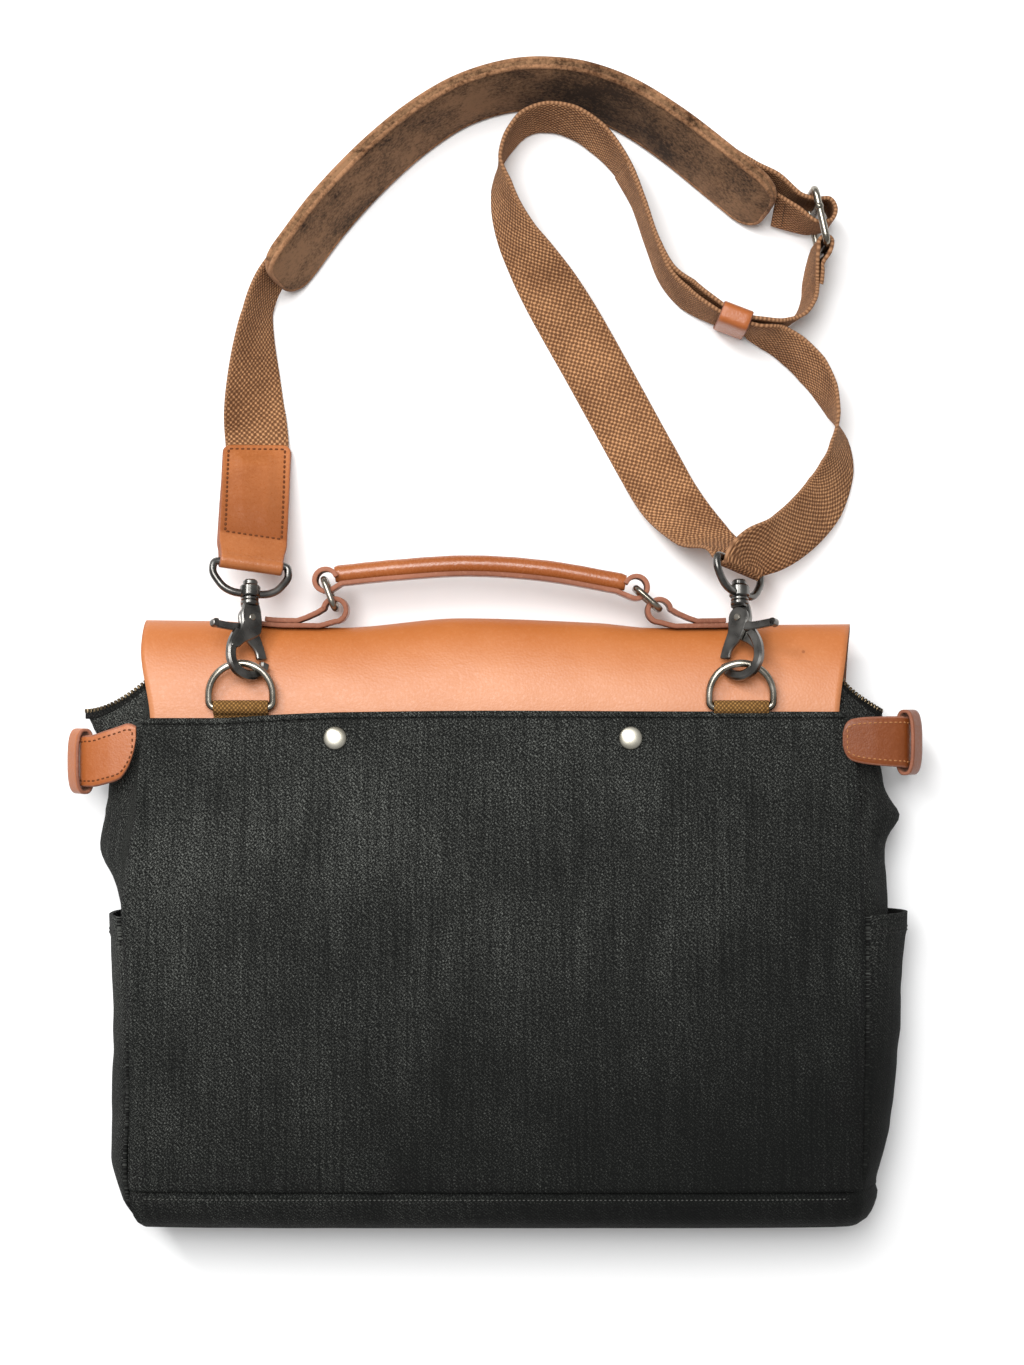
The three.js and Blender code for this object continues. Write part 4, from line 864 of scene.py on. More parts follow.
# Flap: tucked end, round nose, reach of the nose by X, and edges by length from the tucked end
FLAP_TUCK_Y = 75
FLAP_TUCK_HEIGHT = 62.4
FLAP_NOSE_Y = 100
FLAP_HEIGHT = 58
FLAP_END_Y = -54
FLAP_CORNER = 34
LEATHER = 2
FLAP_REACH = [
    (-207, 158.2), (-160, 157.4), (-125, 153.8), (-92, 153.6), (-20, 159.2), (60, 156.4), (95, 153.4),
    (130, 153.6), (165, 155.2), (212, 155.8),
]
FLAP_EDGES = [
    (0, -201, 200.5), (25, -201.5, 201), (70, -208, 206.8), (110, -206.5, 212), (190, -206, 210),
    (340, -204, 206),
]
FLAP_COLUMNS = 120
NOSE_STEPS = 56
FRONT_STEPS = 46
TUCK_STEPS = 10


def flap_point(x, part, t, drop):
    """Point of the flap at an X, a part of its profile and a share of that part."""
    if part == "tuck":
        sag = HEM_DROP * (x / FLAP_REACH[0][0]) ** 6
        z = (FLAP_TUCK_HEIGHT - sag) * (1 - t) + FLAP_HEIGHT * t - 2.4 * t * (1 - t) - drop
        y = FLAP_TUCK_Y + (FLAP_NOSE_Y - FLAP_TUCK_Y) * t
    elif part == "nose":
        reach = smooth_value(FLAP_REACH, x) - FLAP_NOSE_Y - drop
        radius = FLAP_HEIGHT / 2
        turn = math.pi * (0.5 - t)
        y = FLAP_NOSE_Y + reach * math.cos(turn)
        z = radius + (radius - drop) * math.sin(turn)
    else:
        y = FLAP_NOSE_Y + (FLAP_END_Y - FLAP_NOSE_Y) * (1 - (1 - t) ** 1.6)
        z = drop
    shown = step_up(z, 20, 44) * step_up(y, 84, 104)
    dent = -0.5 + 0.9 * ripple(x * 0.7, y * 1.3, 0, 52, 14) + 0.2 * ripple(x, y, 0, 17, 15)
    return Vector((x, y, z + shown * dent))


def add_flap():
    stations = [("tuck", t) for t in spaced(0, 1, TUCK_STEPS)[:-1]]
    stations += [("nose", t) for t in spaced(0, 1, NOSE_STEPS)]
    stations += [("front", t) for t in spaced(0, 1, FRONT_STEPS)[1:]]
    lengths = runs([flap_point(0, part, t, 0) for part, t in stations])
    outer, inner, uvs = [], [], []
    for (part, t), length in zip(stations, lengths):
        corner = max(FLAP_CORNER - (lengths[-1] - length), 0)
        trim = FLAP_CORNER - math.sqrt(FLAP_CORNER ** 2 - corner ** 2)
        left = smooth_value(FLAP_EDGES, length, 1) + trim
        right = smooth_value(FLAP_EDGES, length, 2) - trim
        xs = spaced(left, right, FLAP_COLUMNS)
        outer.append([flap_point(x, part, t, 0) for x in xs])
        inner.append([flap_point(x, part, t, LEATHER) for x in xs])
        uvs.append([(x * MM, length * MM) for x in xs])
    piece = put("flap", "flap_leather", sheet(outer, inner, uvs), [FLAP, FLESH, EDGE])


# Side pockets: side, mouth, foot, and how far the middle of mouth and foot stands off the gusset
POCKETS = [("left", -1, -15, -191, 4.2, 6.5), ("right", 1, -14, -173, 8.2, 6.5)]
POCKET_ROWS = 64
POCKET_COLUMNS = 44
POCKET_HEM = 13


def pocket_point(pocket, y, t, outward):
    """Point of a pocket's cloth at a height and a share of the way round its gusset."""
    _, side, mouth, foot, mouth_stand, foot_stand = pocket
    columns = (1, 2, 3, 5) if side < 0 else (1, 2, 4, 6)
    back, front, seam, middle = (smooth_value(BODY, y, c) for c in columns)
    top = back - SEAM_DROP - 1
    low = front + 3
    share = (y - foot) / (mouth - foot)
    stand = foot_stand + (mouth_stand - foot_stand) * share
    swell = math.sin(math.pi * (0.01 + 0.95 * t)) ** GUSSET_FULLNESS
    ease = max(math.sin(math.pi * t), 0)
    folds = ease * (1.3 * ripple(0, y, t * 50, 32, 16) + 0.5 * ripple(3, y, t * 60, 12, 17))
    hem = 0.7 * step_up(y, mouth - POCKET_HEM, mouth - POCKET_HEM + 1.2) if outward else 0
    taper = step_up(y, foot - 8, foot + 34)
    sunk = 2.2 * (1 - step_up(y, foot, foot + 12))
    loose = (0.6 + stand * ease ** 0.6 + folds) * taper
    out = abs(middle - seam) * swell + 0.6 + loose + outward + hem - sunk
    return Vector((seam + side * out, y, top + (low - top) * t))


def add_pockets():
    for pocket in POCKETS:
        name, side, mouth, foot = pocket[:4]
        outer, inner, uvs = [], [], []
        shares = spaced(0, 1, POCKET_COLUMNS)
        for y in spaced(foot, mouth, POCKET_ROWS):
            outer.append([pocket_point(pocket, y, t, CANVAS_THICK) for t in shares])
            inner.append([pocket_point(pocket, y, t, 0) for t in shares])
            uvs.append([(t * 0.09, y * MM) for t in shares])
        cloth = sheet(outer, inner, uvs)
        put(f"side_pocket_{name}", f"pocket_cloth_{name}", cloth, [CANVAS, LINING, CANVAS])
        lines = []
        for y in (mouth - POCKET_HEM + 2.2, mouth - POCKET_HEM + 4.4):
            line = [pocket_point(pocket, y, t, CANVAS_THICK) for t in spaced(0.04, 0.96, 40)]
            lines.append([(p, Vector((side, 0, 0.35)).normalized()) for p in line])
        add_stitches("canvas", f"pocket_stitches_{name}", BLACK_THREAD, lines, *CANVAS_STITCH)


# Side tabs: distance from the middle and height along each, and Y of its lower and upper edges by distance
TAB_BEND = [(238, 60.6), (243.4, 52), (244.6, 40), (242, 20)]
TAB_PROFILE = {
    "left": [(208.6, 66.1), (211.6, 66), (218.5, 65.5), (226, 64.6), *TAB_BEND],
    "right": [(202.4, 66.3), (206, 66.1), (214, 65.6), (224, 64.6), *TAB_BEND],
}
TAB_EDGES = {
    "left": [
        (208.6, 88, 95.6), (209.6, 82, 96.2), (211.6, 75.4, 97), (213.3, 71.4, 97.2), (218.5, 64.6, 95.6),
        (226, 62, 93.2), (235.4, 60, 90.4), (245, 60, 90),
    ],
    "right": [
        (202.4, 84, 92), (203.4, 80.6, 95.6), (205.5, 77.2, 98.6), (208.6, 75.2, 100), (217, 73.4, 101),
        (236.5, 71.6, 101.4), (245, 71, 101),
    ],
}
# Each side tab takes its painted-light or painted-shade tone of the one leather.
TAB_LEATHERS = {"left": (TAB_PAINTED_LIGHT, BROWN_THREAD), "right": (TAB_PAINTED_SHADE, TAN_THREAD)}
TAB_THICK = 3
TAB_STITCH_INSET = 3.6
TAB_STEPS = 10
TAB_SEWN = slice(7, 56)
SIDE_KEEPERS = {"left": (-1, -242.2, 75, 54.6), "right": (1, 242.2, 86, 54.6)}
KEEPER_INSIDE = 34.4
KEEPER_ROOM = 8.6
KEEPER_BAND = 12
KEEPER_LEAN = 55
KEEPER_SQUARENESS = 2.8
LOOP_STEPS = 72


def tab_frames(side):
    """Frames with the face outwards, and the two edges along a side tab."""
    sign = -1 if side == "left" else 1
    middle = SIDE_KEEPERS[side][2]
    line = smooth_line([Vector((sign * x, middle, z)) for x, z in TAB_PROFILE[side]], TAB_STEPS)
    frames = [(c, e * sign, f * sign) for c, e, f in line_frames(line, Vector((0, 1, 0)))]
    widths = []
    for i, centre in enumerate(line):
        at = abs(centre.x) if i < len(line) - 3 * TAB_STEPS else TAB_EDGES[side][-1][0]
        low = smooth_value(TAB_EDGES[side], at, 1) - middle
        high = smooth_value(TAB_EDGES[side], at, 2) - middle
        widths.append((low, high) if sign > 0 else (-high, -low))
    return frames, widths


def add_side_tabs():
    for side, (leather, thread) in TAB_LEATHERS.items():
        frames, widths = tab_frames(side)
        shape = band(frames, widths, TAB_THICK, 1, 8)
        layers = [leather, EDGE, FLESH]
        put(f"side_tab_{side}", f"tab_leather_{side}", shape, layers)
        edges = [[], []]
        for (c, e, f), (low, high) in list(zip(frames, widths))[TAB_SEWN]:
            for edge, at in zip(edges, (low + TAB_STITCH_INSET, high - TAB_STITCH_INSET)):
                edge.append((c + e * at + f * (TAB_THICK / 2), f))
        first, second = edges[0][0], edges[1][0]
        across = [(first[0].lerp(second[0], t), first[1]) for t in spaced(0, 1, 8)]
        add_stitches("trim_leather", f"tab_stitches_{side}", thread, edges + [across], *TAB_STITCH)
        sign, *place = SIDE_KEEPERS[side]
        turn = sign * math.radians(90 + KEEPER_LEAN)
        matrix = Matrix.Translation(place) @ Matrix.Rotation(turn, 4, "Y")
        loop = placed(leather_loop(KEEPER_ROOM, KEEPER_INSIDE, KEEPER_BAND, KEEPER_SQUARENESS), matrix)
        put(f"side_keeper_{side}", f"keeper_leather_{side}", loop, layers)


def leather_loop(room, inside, width, squareness):
    """Leather band closed round a strap, in the XY plane, with its width along Z."""
    line = []
    for turn in circle(LOOP_STEPS):
        x = math.copysign(abs(math.cos(turn)) ** (2 / squareness), math.cos(turn))
        y = math.copysign(abs(math.sin(turn)) ** (2 / squareness), math.sin(turn))
        line.append(Vector((x * (room + LEATHER) / 2, y * (inside + LEATHER) / 2, 0)))
    return band(line_frames(line, Vector((0, 0, 1)), True), width, LEATHER, 0.6, 6, True)


# D-rings, their tabs and the trigger hooks
RING_WIRE = 2.2
RING_HALF = 18.65
RING_BOW = 7
RING_CORNER = 3.6
RING_BAR_Y = 106.6
RING_BAR_Z = 62.8
RING_RISE = 4
RING_X = {"left": -148, "right": 143.6}
RING_TAB_WIDTH = 32
RING_TAB_TUCK = 96.5
RING_TAB_FLOOR = 59.4
TAB_PLY = 1.5


def d_outline():
    inner = RING_HALF - RING_CORNER
    outline = [(x, 0) for x in spaced(-inner, inner, 16)]
    for t in spaced(0.2, math.pi / 2, 6):
        outline.append((inner + RING_CORNER * math.sin(t), RING_CORNER - RING_CORNER * math.cos(t)))
    for t in spaced(0, math.pi, 40):
        outline.append((RING_HALF * math.cos(t), RING_BOW + RING_HALF * math.sin(t)))
    for t in spaced(0, math.pi / 2 - 0.2, 6):
        outline.append((-inner - RING_CORNER * math.cos(t), RING_CORNER - RING_CORNER * math.sin(t)))
    return outline


def add_d_ring(side):
    x = RING_X[side]
    place = Matrix.Translation((x, RING_BAR_Y, RING_BAR_Z))
    matrix = place @ Matrix.Rotation(math.radians(RING_RISE), 4, "X")
    ring = placed(flat_wire(d_outline(), RING_WIRE, 18), matrix)
    put(f"d_ring_{side}", f"d_wire_{side}", ring, [NICKEL])
    reach = RING_WIRE + 0.4 + TAB_PLY / 2
    upper = RING_TAB_FLOOR + TAB_PLY
    line = [Vector((x, RING_TAB_TUCK, upper)), Vector((x, RING_BAR_Y - 5.4, upper + 0.3))]
    for t in spaced(-1.5, math.pi, 20):
        line.append(Vector((x, RING_BAR_Y + reach * math.sin(t), RING_BAR_Z + reach * math.cos(t))))
    line += [Vector((x, RING_BAR_Y - 4, RING_TAB_FLOOR)), Vector((x, RING_TAB_TUCK, RING_TAB_FLOOR))]
    frames = line_frames(smooth_line(line, 3), Vector((1, 0, 0)))
    tab = band(frames, RING_TAB_WIDTH, TAB_PLY, 0.4, 8)
    put(f"d_ring_tab_{side}", f"d_tab_{side}", tab, [TAB_WEBBING] * 3)


HOOK_SLOPE = 16
HOOK_ROLL = 38
HOOK_PLACE = {"left": (-143.6, 158.6, 56.4), "right": (143.4, 158.6, 56.4)}
EYE_ROLL = {"left": 15, "right": -51}
HOOK_BODY = [
    (-4.4, 9), (-6.2, 4.4), (-6.8, 0), (-6.4, -4), (-8, -9), (-12.2, -15.6), (-13.4, -19.6), (-9, -20),
    (-4.4, -16.2), (2.2, -12.4), (6.6, -8.8), (7.2, -4), (6.8, 1.4), (4.4, 9),
]
HOOK_NECK = [(-4.4, 6.6), (4.4, 6.6), (4.8, 9.6), (-4.8, 9.6)]
HOOK_POST = [
    (0, 7.6), (4.8, 7.6), (5.4, 8.4), (5.4, 9.8), (4.6, 10.4), (5.2, 11), (5.2, 12), (2.4, 12.5),
    (2.4, 20.1), (4.2, 20.1), (4.4, 20.4), (4.4, 22.2), (3.6, 23.2), (2, 23.4), (0, 23.4),
]
HOOK_BOWL = [
    (-7.6, -9.5), (-10.2, -14), (-12, -19.5), (-11.8, -26.6), (-8.2, -32.2), (-1.4, -34.8), (5.6, -33.4),
    (9.8, -30), (10.8, -26.2),
]
HOOK_BAR = (5.6, 4.8)
# Round parts: radius, heights of the faces, bevel and sides; the pin has a head at each end
HOOK_HEAD = (6.8, 0.3, 3.2, 0.7, 40)
LEVER_DISC = (6.6, -2.85, 0, 0.6, 40)
HOOK_PIN = [(1.5, -3.7, 3.8), (2, -3.8, -3.1), (2, 3.1, 3.9)]
LEVER_TAB = [
    (-2, -4), (-12, -4.6), (-21.6, -4.8), (-24.8, -5), (-25.6, -7), (-24.8, -9), (-21.6, -9.2), (-12, -9),
    (-4, -8.4),
]
LEVER_GATE = [
    (6.4, -1), (7, -6.6), (8.8, -11), (11, -16), (12.4, -20), (12.9, -22.6), (7, -23.6), (6, -20.8),
    (4.2, -18), (0.4, -15), (-1.8, -12), (-5, -6), (-6.2, -1),
]
LEVER_THUMB = [(-22, -4.8), (-24.8, -5), (-25.6, -7), (-24.8, -9), (-22, -9.2)]
# Plates of the lever: outline, heights of the faces, and bevel
LEVER_PLATES = [
    (LEVER_TAB, -2.7, -0.1, 0.5), (LEVER_GATE, -2.8, -0.05, 0.6), (LEVER_THUMB, -2.7, 2.2, 0.5),
]
EYE_SIDE = [(10, 15.5), (15.6, 18), (19.4, 22), (22.2, 26.6), (22.2, 31.3), (21.5, 32.8), (20, 33.5)]
EYE_HUB = [(2.8, 12.9), (5.5, 12.9), (6.1, 13.6), (6.1, 18.9), (5.5, 19.6), (2.8, 19.6)]
EYE_FOOT = 15
EYE_BAR = 33.5
EYE_WIRE = 2.3


def hook_matrix(side, roll):
    slope = math.radians(HOOK_SLOPE)
    across = Vector((1, 0, 0))
    length = Vector((0, math.cos(slope), -math.sin(slope)))
    face = across.cross(length)
    turn = math.radians(roll)
    sign = -1 if side == "right" else 1
    a = across * (sign * math.cos(turn)) - face * math.sin(turn)
    return axes(a, length, a.cross(length), HOOK_PLACE[side])


def cylinder(radius, low, high, bevel=0.3, sides=28):
    return plate([(radius * math.cos(t), radius * math.sin(t)) for t in circle(sides)], low, high, bevel)


def hook_body_shape():
    """Cast body in material 0 and the pin that the lever turns on in material 1."""
    line = smooth_line([Vector((a, b, 0.4)) for a, b in HOOK_BOWL], 8)
    wide, deep = HOOK_BAR
    bowl = band(line_frames(line, Vector((0, 0, 1))), deep, wide, 1.1, 3)
    pin = joined(*(cylinder(*row) for row in HOOK_PIN))
    flat = [plate(soft_outline(HOOK_BODY), 0.3, 3.1, 0.6), plate(HOOK_NECK, -2.8, 3.1, 0.4)]
    post = turned(HOOK_POST)
    return joined(*flat, cylinder(*HOOK_HEAD), one_material(bowl, 0), post, one_material(pin, 1))


def hook_lever_shape():
    plates = [plate(soft_outline(corners), *rest) for corners, *rest in LEVER_PLATES]
    return joined(cylinder(*LEVER_DISC), *plates)


def hook_eye_shape():
    right = [Vector((a, b, 0)) for a, b in EYE_SIDE]
    left = [Vector((-a, b, 0)) for a, b in reversed(EYE_SIDE)]
    bar = [Vector((a, EYE_BAR, 0)) for a in (10, 0, -10)]
    line = smooth_line([Vector((0, EYE_FOOT, 0)), *right, *bar, *left], 6, True)
    return joined(flat_wire([(p.x, p.y) for p in line], EYE_WIRE, 16), turned(EYE_HUB, 32, True))


def add_hooks():
    for side in ("left", "right"):
        add_d_ring(side)
        rolled = hook_matrix(side, HOOK_ROLL)
        cast = placed(hook_body_shape(), rolled)
        put(f"hook_body_{side}", f"hook_cast_{side}", cast, [GUNMETAL, NICKEL], 32)
        eye = placed(hook_eye_shape(), hook_matrix(side, EYE_ROLL[side]))
        put(f"hook_eye_{side}", f"eye_wire_{side}", eye, [GUNMETAL], 40)
        lever = placed(hook_lever_shape(), rolled)
        put(f"hook_lever_{side}", f"lever_plate_{side}", lever, [GUNMETAL], 32, f"lever_{side}")


# Handle: grip line, end loops, rings and anchors
HANDLE_Z = 30
GRIP_RADIUS = 5.3
GRIP_LENGTH = 176
GRIP_LINE = [(-95.2, 185.2), (-60, 188.8), (-15, 191.4), (30, 188.4), (77.5, 180.2)]
STRIP_WIDTH = 20
STRIP_THICK = 2.8
LOOP_RADIUS = 6.6
RING_LINK = 18.5
RING_SPAN = 13.4
HANDLE_WIRE = 1.8
HANDLE_ENDS = {
    "left": dict(
        side=-1, loop=(-100.2, 181.6), curl=(20, 292), bar=(-101.4, 182.2), lean=-69.3, anchor=-139),
    "right": dict(
        side=1, loop=(83.6, 177.4), curl=(244, 520), bar=(83.4, 176.8), lean=-41.5, anchor=139.5),
}


def level(x, y):
    return Vector((x, y, HANDLE_Z))


def arc(centre, radius, start, end, count):
    turns = [math.radians(t) for t in spaced(start, end, count)]
    return [centre + Vector((math.cos(t), math.sin(t), 0)) * radius for t in turns]


def grip_strip_line():
    """Flat strip under the grip, curled into a loop at each end."""
    spine = smooth_line([level(x, y) for x, y in GRIP_LINE], 10)
    under = []
    for i, p in enumerate(spine):
        heading = heading_at(spine, i)
        under.append(p + Vector((heading.y, -heading.x, 0)) * (GRIP_RADIUS + 0.6))
    ends = HANDLE_ENDS.values()
    left, right = (arc(level(*end["loop"]), LOOP_RADIUS, *end["curl"], 26) for end in ends)
    return left + under[1:-1] + right


def add_handle():
    spine = smooth_line([level(x, y) for x, y in GRIP_LINE], 16)

    def roundness(t):
        to_end = min(t, 1 - t) * GRIP_LENGTH
        return GRIP_RADIUS * (1 - 0.14 * math.exp(-to_end / 0.8)) + 0.05 * math.sin(t * 60)

    strip = band(line_frames(grip_strip_line(), Vector((0, 0, 1))), STRIP_WIDTH, STRIP_THICK, 0.4, 8)
    grip = one_material(wire(spine, roundness, 28), 3)
    layers = [TRIM, EDGE, FLESH, GRIP]
    put("handle_grip", "handle_leather", joined(strip, grip), layers, 50)
    outline = rounded_box_outline(RING_LINK / 2, RING_SPAN, 5, 8)
    for side, end in HANDLE_ENDS.items():
        toward = level_direction(end["lean"])
        matrix = standing(end["lean"], level(*end["bar"]) + toward * (RING_LINK / 2))
        ring = placed(flat_wire(outline, HANDLE_WIRE, 16), matrix)
        put(f"handle_ring_{side}", f"handle_wire_{side}", ring, [NICKEL])
        add_anchor(side, end, level(*end["bar"]) + toward * RING_LINK - Vector((0, 1, 0)))


def level_direction(turn):
    return edge_direction(turn, 0)


def standing(turn, place):
    """Frame whose X runs level at an angle, and whose Y is up."""
    up = Vector((0, 0, 1))
    along = level_direction(turn)
    return axes(along, up, along.cross(up), place)


def add_anchor(name, end, centre):
    """Doubled strip on the flap's nose, with a loop round the ring's lower bar."""
    side = end["side"]

    def rest(x, ply):
        return level(x, smooth_value(FLAP_REACH, x) - 0.3 + STRIP_THICK * (0.5 + ply))

    low = [rest(x, 0) for x in spaced(end["anchor"], centre.x + side * 9, 8)]
    loop = arc(centre, LOOP_RADIUS + 0.1, -90, -90 - side * 262, 22)
    back = [rest(x, 1.05) for x in spaced(centre.x + side * 22, end["anchor"] - side * 3, 7)]
    frames = line_frames(smooth_line(low + loop + back, 3), Vector((0, 0, 1)))
    strip = band(frames, STRIP_WIDTH, STRIP_THICK, 0.4, 8)
    put(f"handle_anchor_{name}", f"anchor_leather_{name}", strip, [TRIM, EDGE, FLESH])


# Shoulder strap: rows of x, y, z, azimuth and lift of the webbing's edge, as in the part's source
STRAP_WIDTH = 38
STRAP_THICK = 2.3
STRAP_LEFT = [
    (-143.6, 239.8, 18.3, 180, 8), (-143.6, 251.9, 11.2, 180, 5), (-143.6, 262.6, 5.4, 180, 4),
    (-144.4, 273.4, 5.4, 180, 10), (-145.2, 285, 8.6, -179, 24), (-145.2, 304, 13.2, -176, 40),
    (-144.4, 325, 17, 180, 57), (-142, 343, 19.4, 169, 70), (-136, 359, 21.6, 152, 72),
]
STRAP_TO_SLIDER = [
    (149, 425, 24.4, 58, 74), (166, 418, 25, 64, 80), (180, 408.6, 25.2, 64, 88),
    (189.4, 406.4, 25.2, 64, 90), (197.6, 406.4, 25.2, 64, 90), (201, 400.6, 25.2, 64, 90),
    (198.6, 394.2, 25.2, 64, 90), (190, 392.6, 25.2, 64, 88), (178.4, 397.8, 24, 64, 78),
    (166.5, 403.6, 22, 64, 72),
]
STRAP_RIGHT = [
    (191.4, 361, 21.4, -20, 82), (194, 370.4, 23.6, -15, 86), (198.2, 376.8, 25.2, -15, 90),
    (198.6, 382.4, 25.2, -15, 90), (194.8, 384.8, 25.2, -15, 90), (191.4, 382.2, 25.2, -15, 90),
    (190.6, 377.6, 25, -15, 89), (189.6, 370, 23.4, -15, 86), (188.5, 359, 21, -20, 82),
    (187.6, 350, 20.4, -28, 82), (182.6, 340.6, 20.6, -42, 85), (172.4, 335.2, 21.2, 80, 89),
    (158, 335.4, 22.8, 78, 88),
    (142.5, 338.6, 23.2, 71, 89), (130.9, 345.4, 22.4, 64, 85), (116.6, 355.1, 20.2, 53, 80),
    (104, 365.5, 20.2, 36, 83), (94, 384.3, 20.2, 23, 84), (85.3, 409.4, 20.2, 22, 84),
    (75.6, 429.4, 20.2, 33, 80), (61, 446.6, 20, 48, 73), (45.6, 456.5, 20, 66, 72),
    (30.6, 459.1, 20, 92, 74), (17.8, 455.5, 20, 123, 78), (7.9, 444.1, 20.2, 145, 83),
    (3, 432, 20.2, 171, 90), (3.6, 418.4, 19.6, 8, 74), (6.8, 403.6, 18.6, 12, 64), (12.9, 389, 17, 24, 54),
    (22.4, 373.4, 13.9, 29, 40), (33.4, 356, 9.6, 29, 24), (50.4, 328, 3.4, 29, 5),
    (70.6, 292, 2.2, 28, 2), (91, 255, 2.4, 27, 2), (105.4, 229.6, 9.4, 24, -10), (123, 209, 26, 20, -30),
    (137.4, 198.8, 40.4, -8, -40), (140.2, 190.2, 44.7, -18.8, -48.3), (141.1, 187.6, 46.2, -18.8, -48.3),
    (143.4, 186.8, 48.3, -18.8, -48.3), (145.7, 188.4, 49.7, -18.8, -48.3),
    (146.6, 191.6, 49.7, -18.8, -48.3), (153, 197.4, 46.6, -36, -46), (167, 203.6, 40, -52, -42),
    (183, 215.4, 30, -50, -38),
    (197, 231.6, 20.6, -38, -40), (204.8, 250, 18.6, -16, -54), (205.6, 266, 19.6, -2, -70),
    (202.6, 281, 20.6, -160, -88), (198, 294.4, 20, -156, -76), (189.6, 308, 19.4, -142, -68),
    (177.6, 320, 19.2, -128, -68), (165.4, 327.6, 19.8, -114, -72), (153.4, 331.4, 22.4, -108, -86),
    (141.3, 335.2, 23.2, -107, -89), (129, 341, 22.4, -116, -85), (113.4, 351.2, 20.2, -127, -80),
    (102, 363.9, 20.2, -144, -83), (93.7, 384.2, 20.2, -157, -84), (85, 409.3, 20.2, -158, -84),
    (76, 427.8, 20.2, -147, -80),
]
STRAP_STEPS = 6

# Shoulder pad: x, y, z, azimuth, lift, width and thickness of each section
PAD_SECTIONS = [
    (-129.5, 360, 27.8, 138, 72, 54, 3.4), (-125, 365.8, 27.8, 137, 72, 55, 6),
    (-117.6, 375.6, 28, 135, 72, 55, 6.6), (-98.3, 401, 28.4, 132, 73, 56, 6.8),
    (-70.8, 430, 28.6, 130, 74, 56, 6.8), (-44.6, 452, 28.6, 123, 75, 56, 6.8),
    (-20.3, 466.8, 28.6, 112, 76, 56, 6.8), (4.7, 475, 28.6, 101, 76, 56, 6.8),
    (24, 477, 28.6, 91, 75, 56, 6.8), (49.6, 474.4, 28.6, 78, 74, 56, 6.8),
    (75.7, 465.4, 28.5, 66, 74, 56, 6.8), (104, 447.8, 28.4, 56, 73, 56, 6.8),
    (130.6, 427, 28, 52, 72, 56, 6.8), (149, 412, 27.8, 51, 71, 55, 6.6),
    (157, 405.4, 27.6, 50, 71, 54, 6), (161.5, 401.8, 27.6, 50, 71, 54, 3.4),
]
PAD_SEWN = slice(2, 12)
PAD_SEWN_OFFSET = 4.8


def edge_direction(azimuth, lift):
    flat = math.cos(math.radians(lift))
    turn = math.radians(azimuth)
    return Vector((flat * math.cos(turn), flat * math.sin(turn), math.sin(math.radians(lift))))


def ribbon_frames(rows, steps):
    """Centre, edge direction and face along rows of x, y, z, azimuth and lift."""
    centres = smooth_line([Vector(row[:3]) for row in rows], steps)
    edges = [edge_direction(row[3], row[4]) for row in rows]
    frames = []
    for i, centre in enumerate(centres):
        whole = min(i // steps, len(rows) - 2)
        edge = edges[whole].lerp(edges[whole + 1], i / steps - whole)
        heading = heading_at(centres, i)
        edge = (edge - heading * edge.dot(heading)).normalized()
        frames.append((centre, edge, heading.cross(edge)))
    return frames


def pad_frames():
    """Frames of the pad's sections with their faces up."""
    frames = ribbon_frames([section[:5] for section in PAD_SECTIONS], 1)
    return [(centre, edge, face if face.z > 0 else -face) for centre, edge, face in frames]


def left_webbing_rows():
    sewn = []
    for section, (centre, _, face) in list(zip(PAD_SECTIONS, pad_frames()))[PAD_SEWN]:
        sewn.append((*(centre - face * PAD_SEWN_OFFSET), section[3], section[4]))
    return STRAP_LEFT + sewn + STRAP_TO_SLIDER


def webbing_piece(name, frames, node):
    shape = band(frames, STRAP_WIDTH, STRAP_THICK, 0.7, 12)
    return put(node, name, shape, [WEBBING, WEBBING_EDGE, WEBBING])


def cross_stitch(frames, at, side, inset=4):
    """Line of stitches across the webbing at a share of its length."""
    centre, edge, face = frames[round(at * (len(frames) - 1))]
    reach = STRAP_WIDTH / 2 - inset
    lift = face * (side * STRAP_THICK / 2)
    return [(centre + edge * e + lift, face * side) for e in spaced(-reach, reach, 6)]


def add_strap():
    left_frames = ribbon_frames(left_webbing_rows(), STRAP_STEPS)
    right_frames = ribbon_frames(STRAP_RIGHT, STRAP_STEPS)
    left = webbing_piece("webbing_left", left_frames, "strap_webbing_left")
    right = webbing_piece("webbing_right", right_frames, "strap_webbing_right")
    add_end_tab()
    add_pad()
    add_slider()
    add_strap_keeper()
    lines = [cross_stitch(left_frames, 0.985, side) for side in (1, -1)]
    lines += [cross_stitch(right_frames, 0.005, side) for side in (1, -1)]
    add_stitches("webbing", "strap_stitches", PAD_THREAD, lines, *STRAP_STITCH)


PAD_SUBSTEPS = 6
PAD_END = 15
PAD_CORNER = 2.4
# Parts that the two faces and two rims of the pad's section are cut into, by their number in its outline
PAD_PARTS = {4: 12, 9: 3, 14: 12, 19: 3}
PIPING_RADIUS = 1.5
PIPING_INSET = 0.9


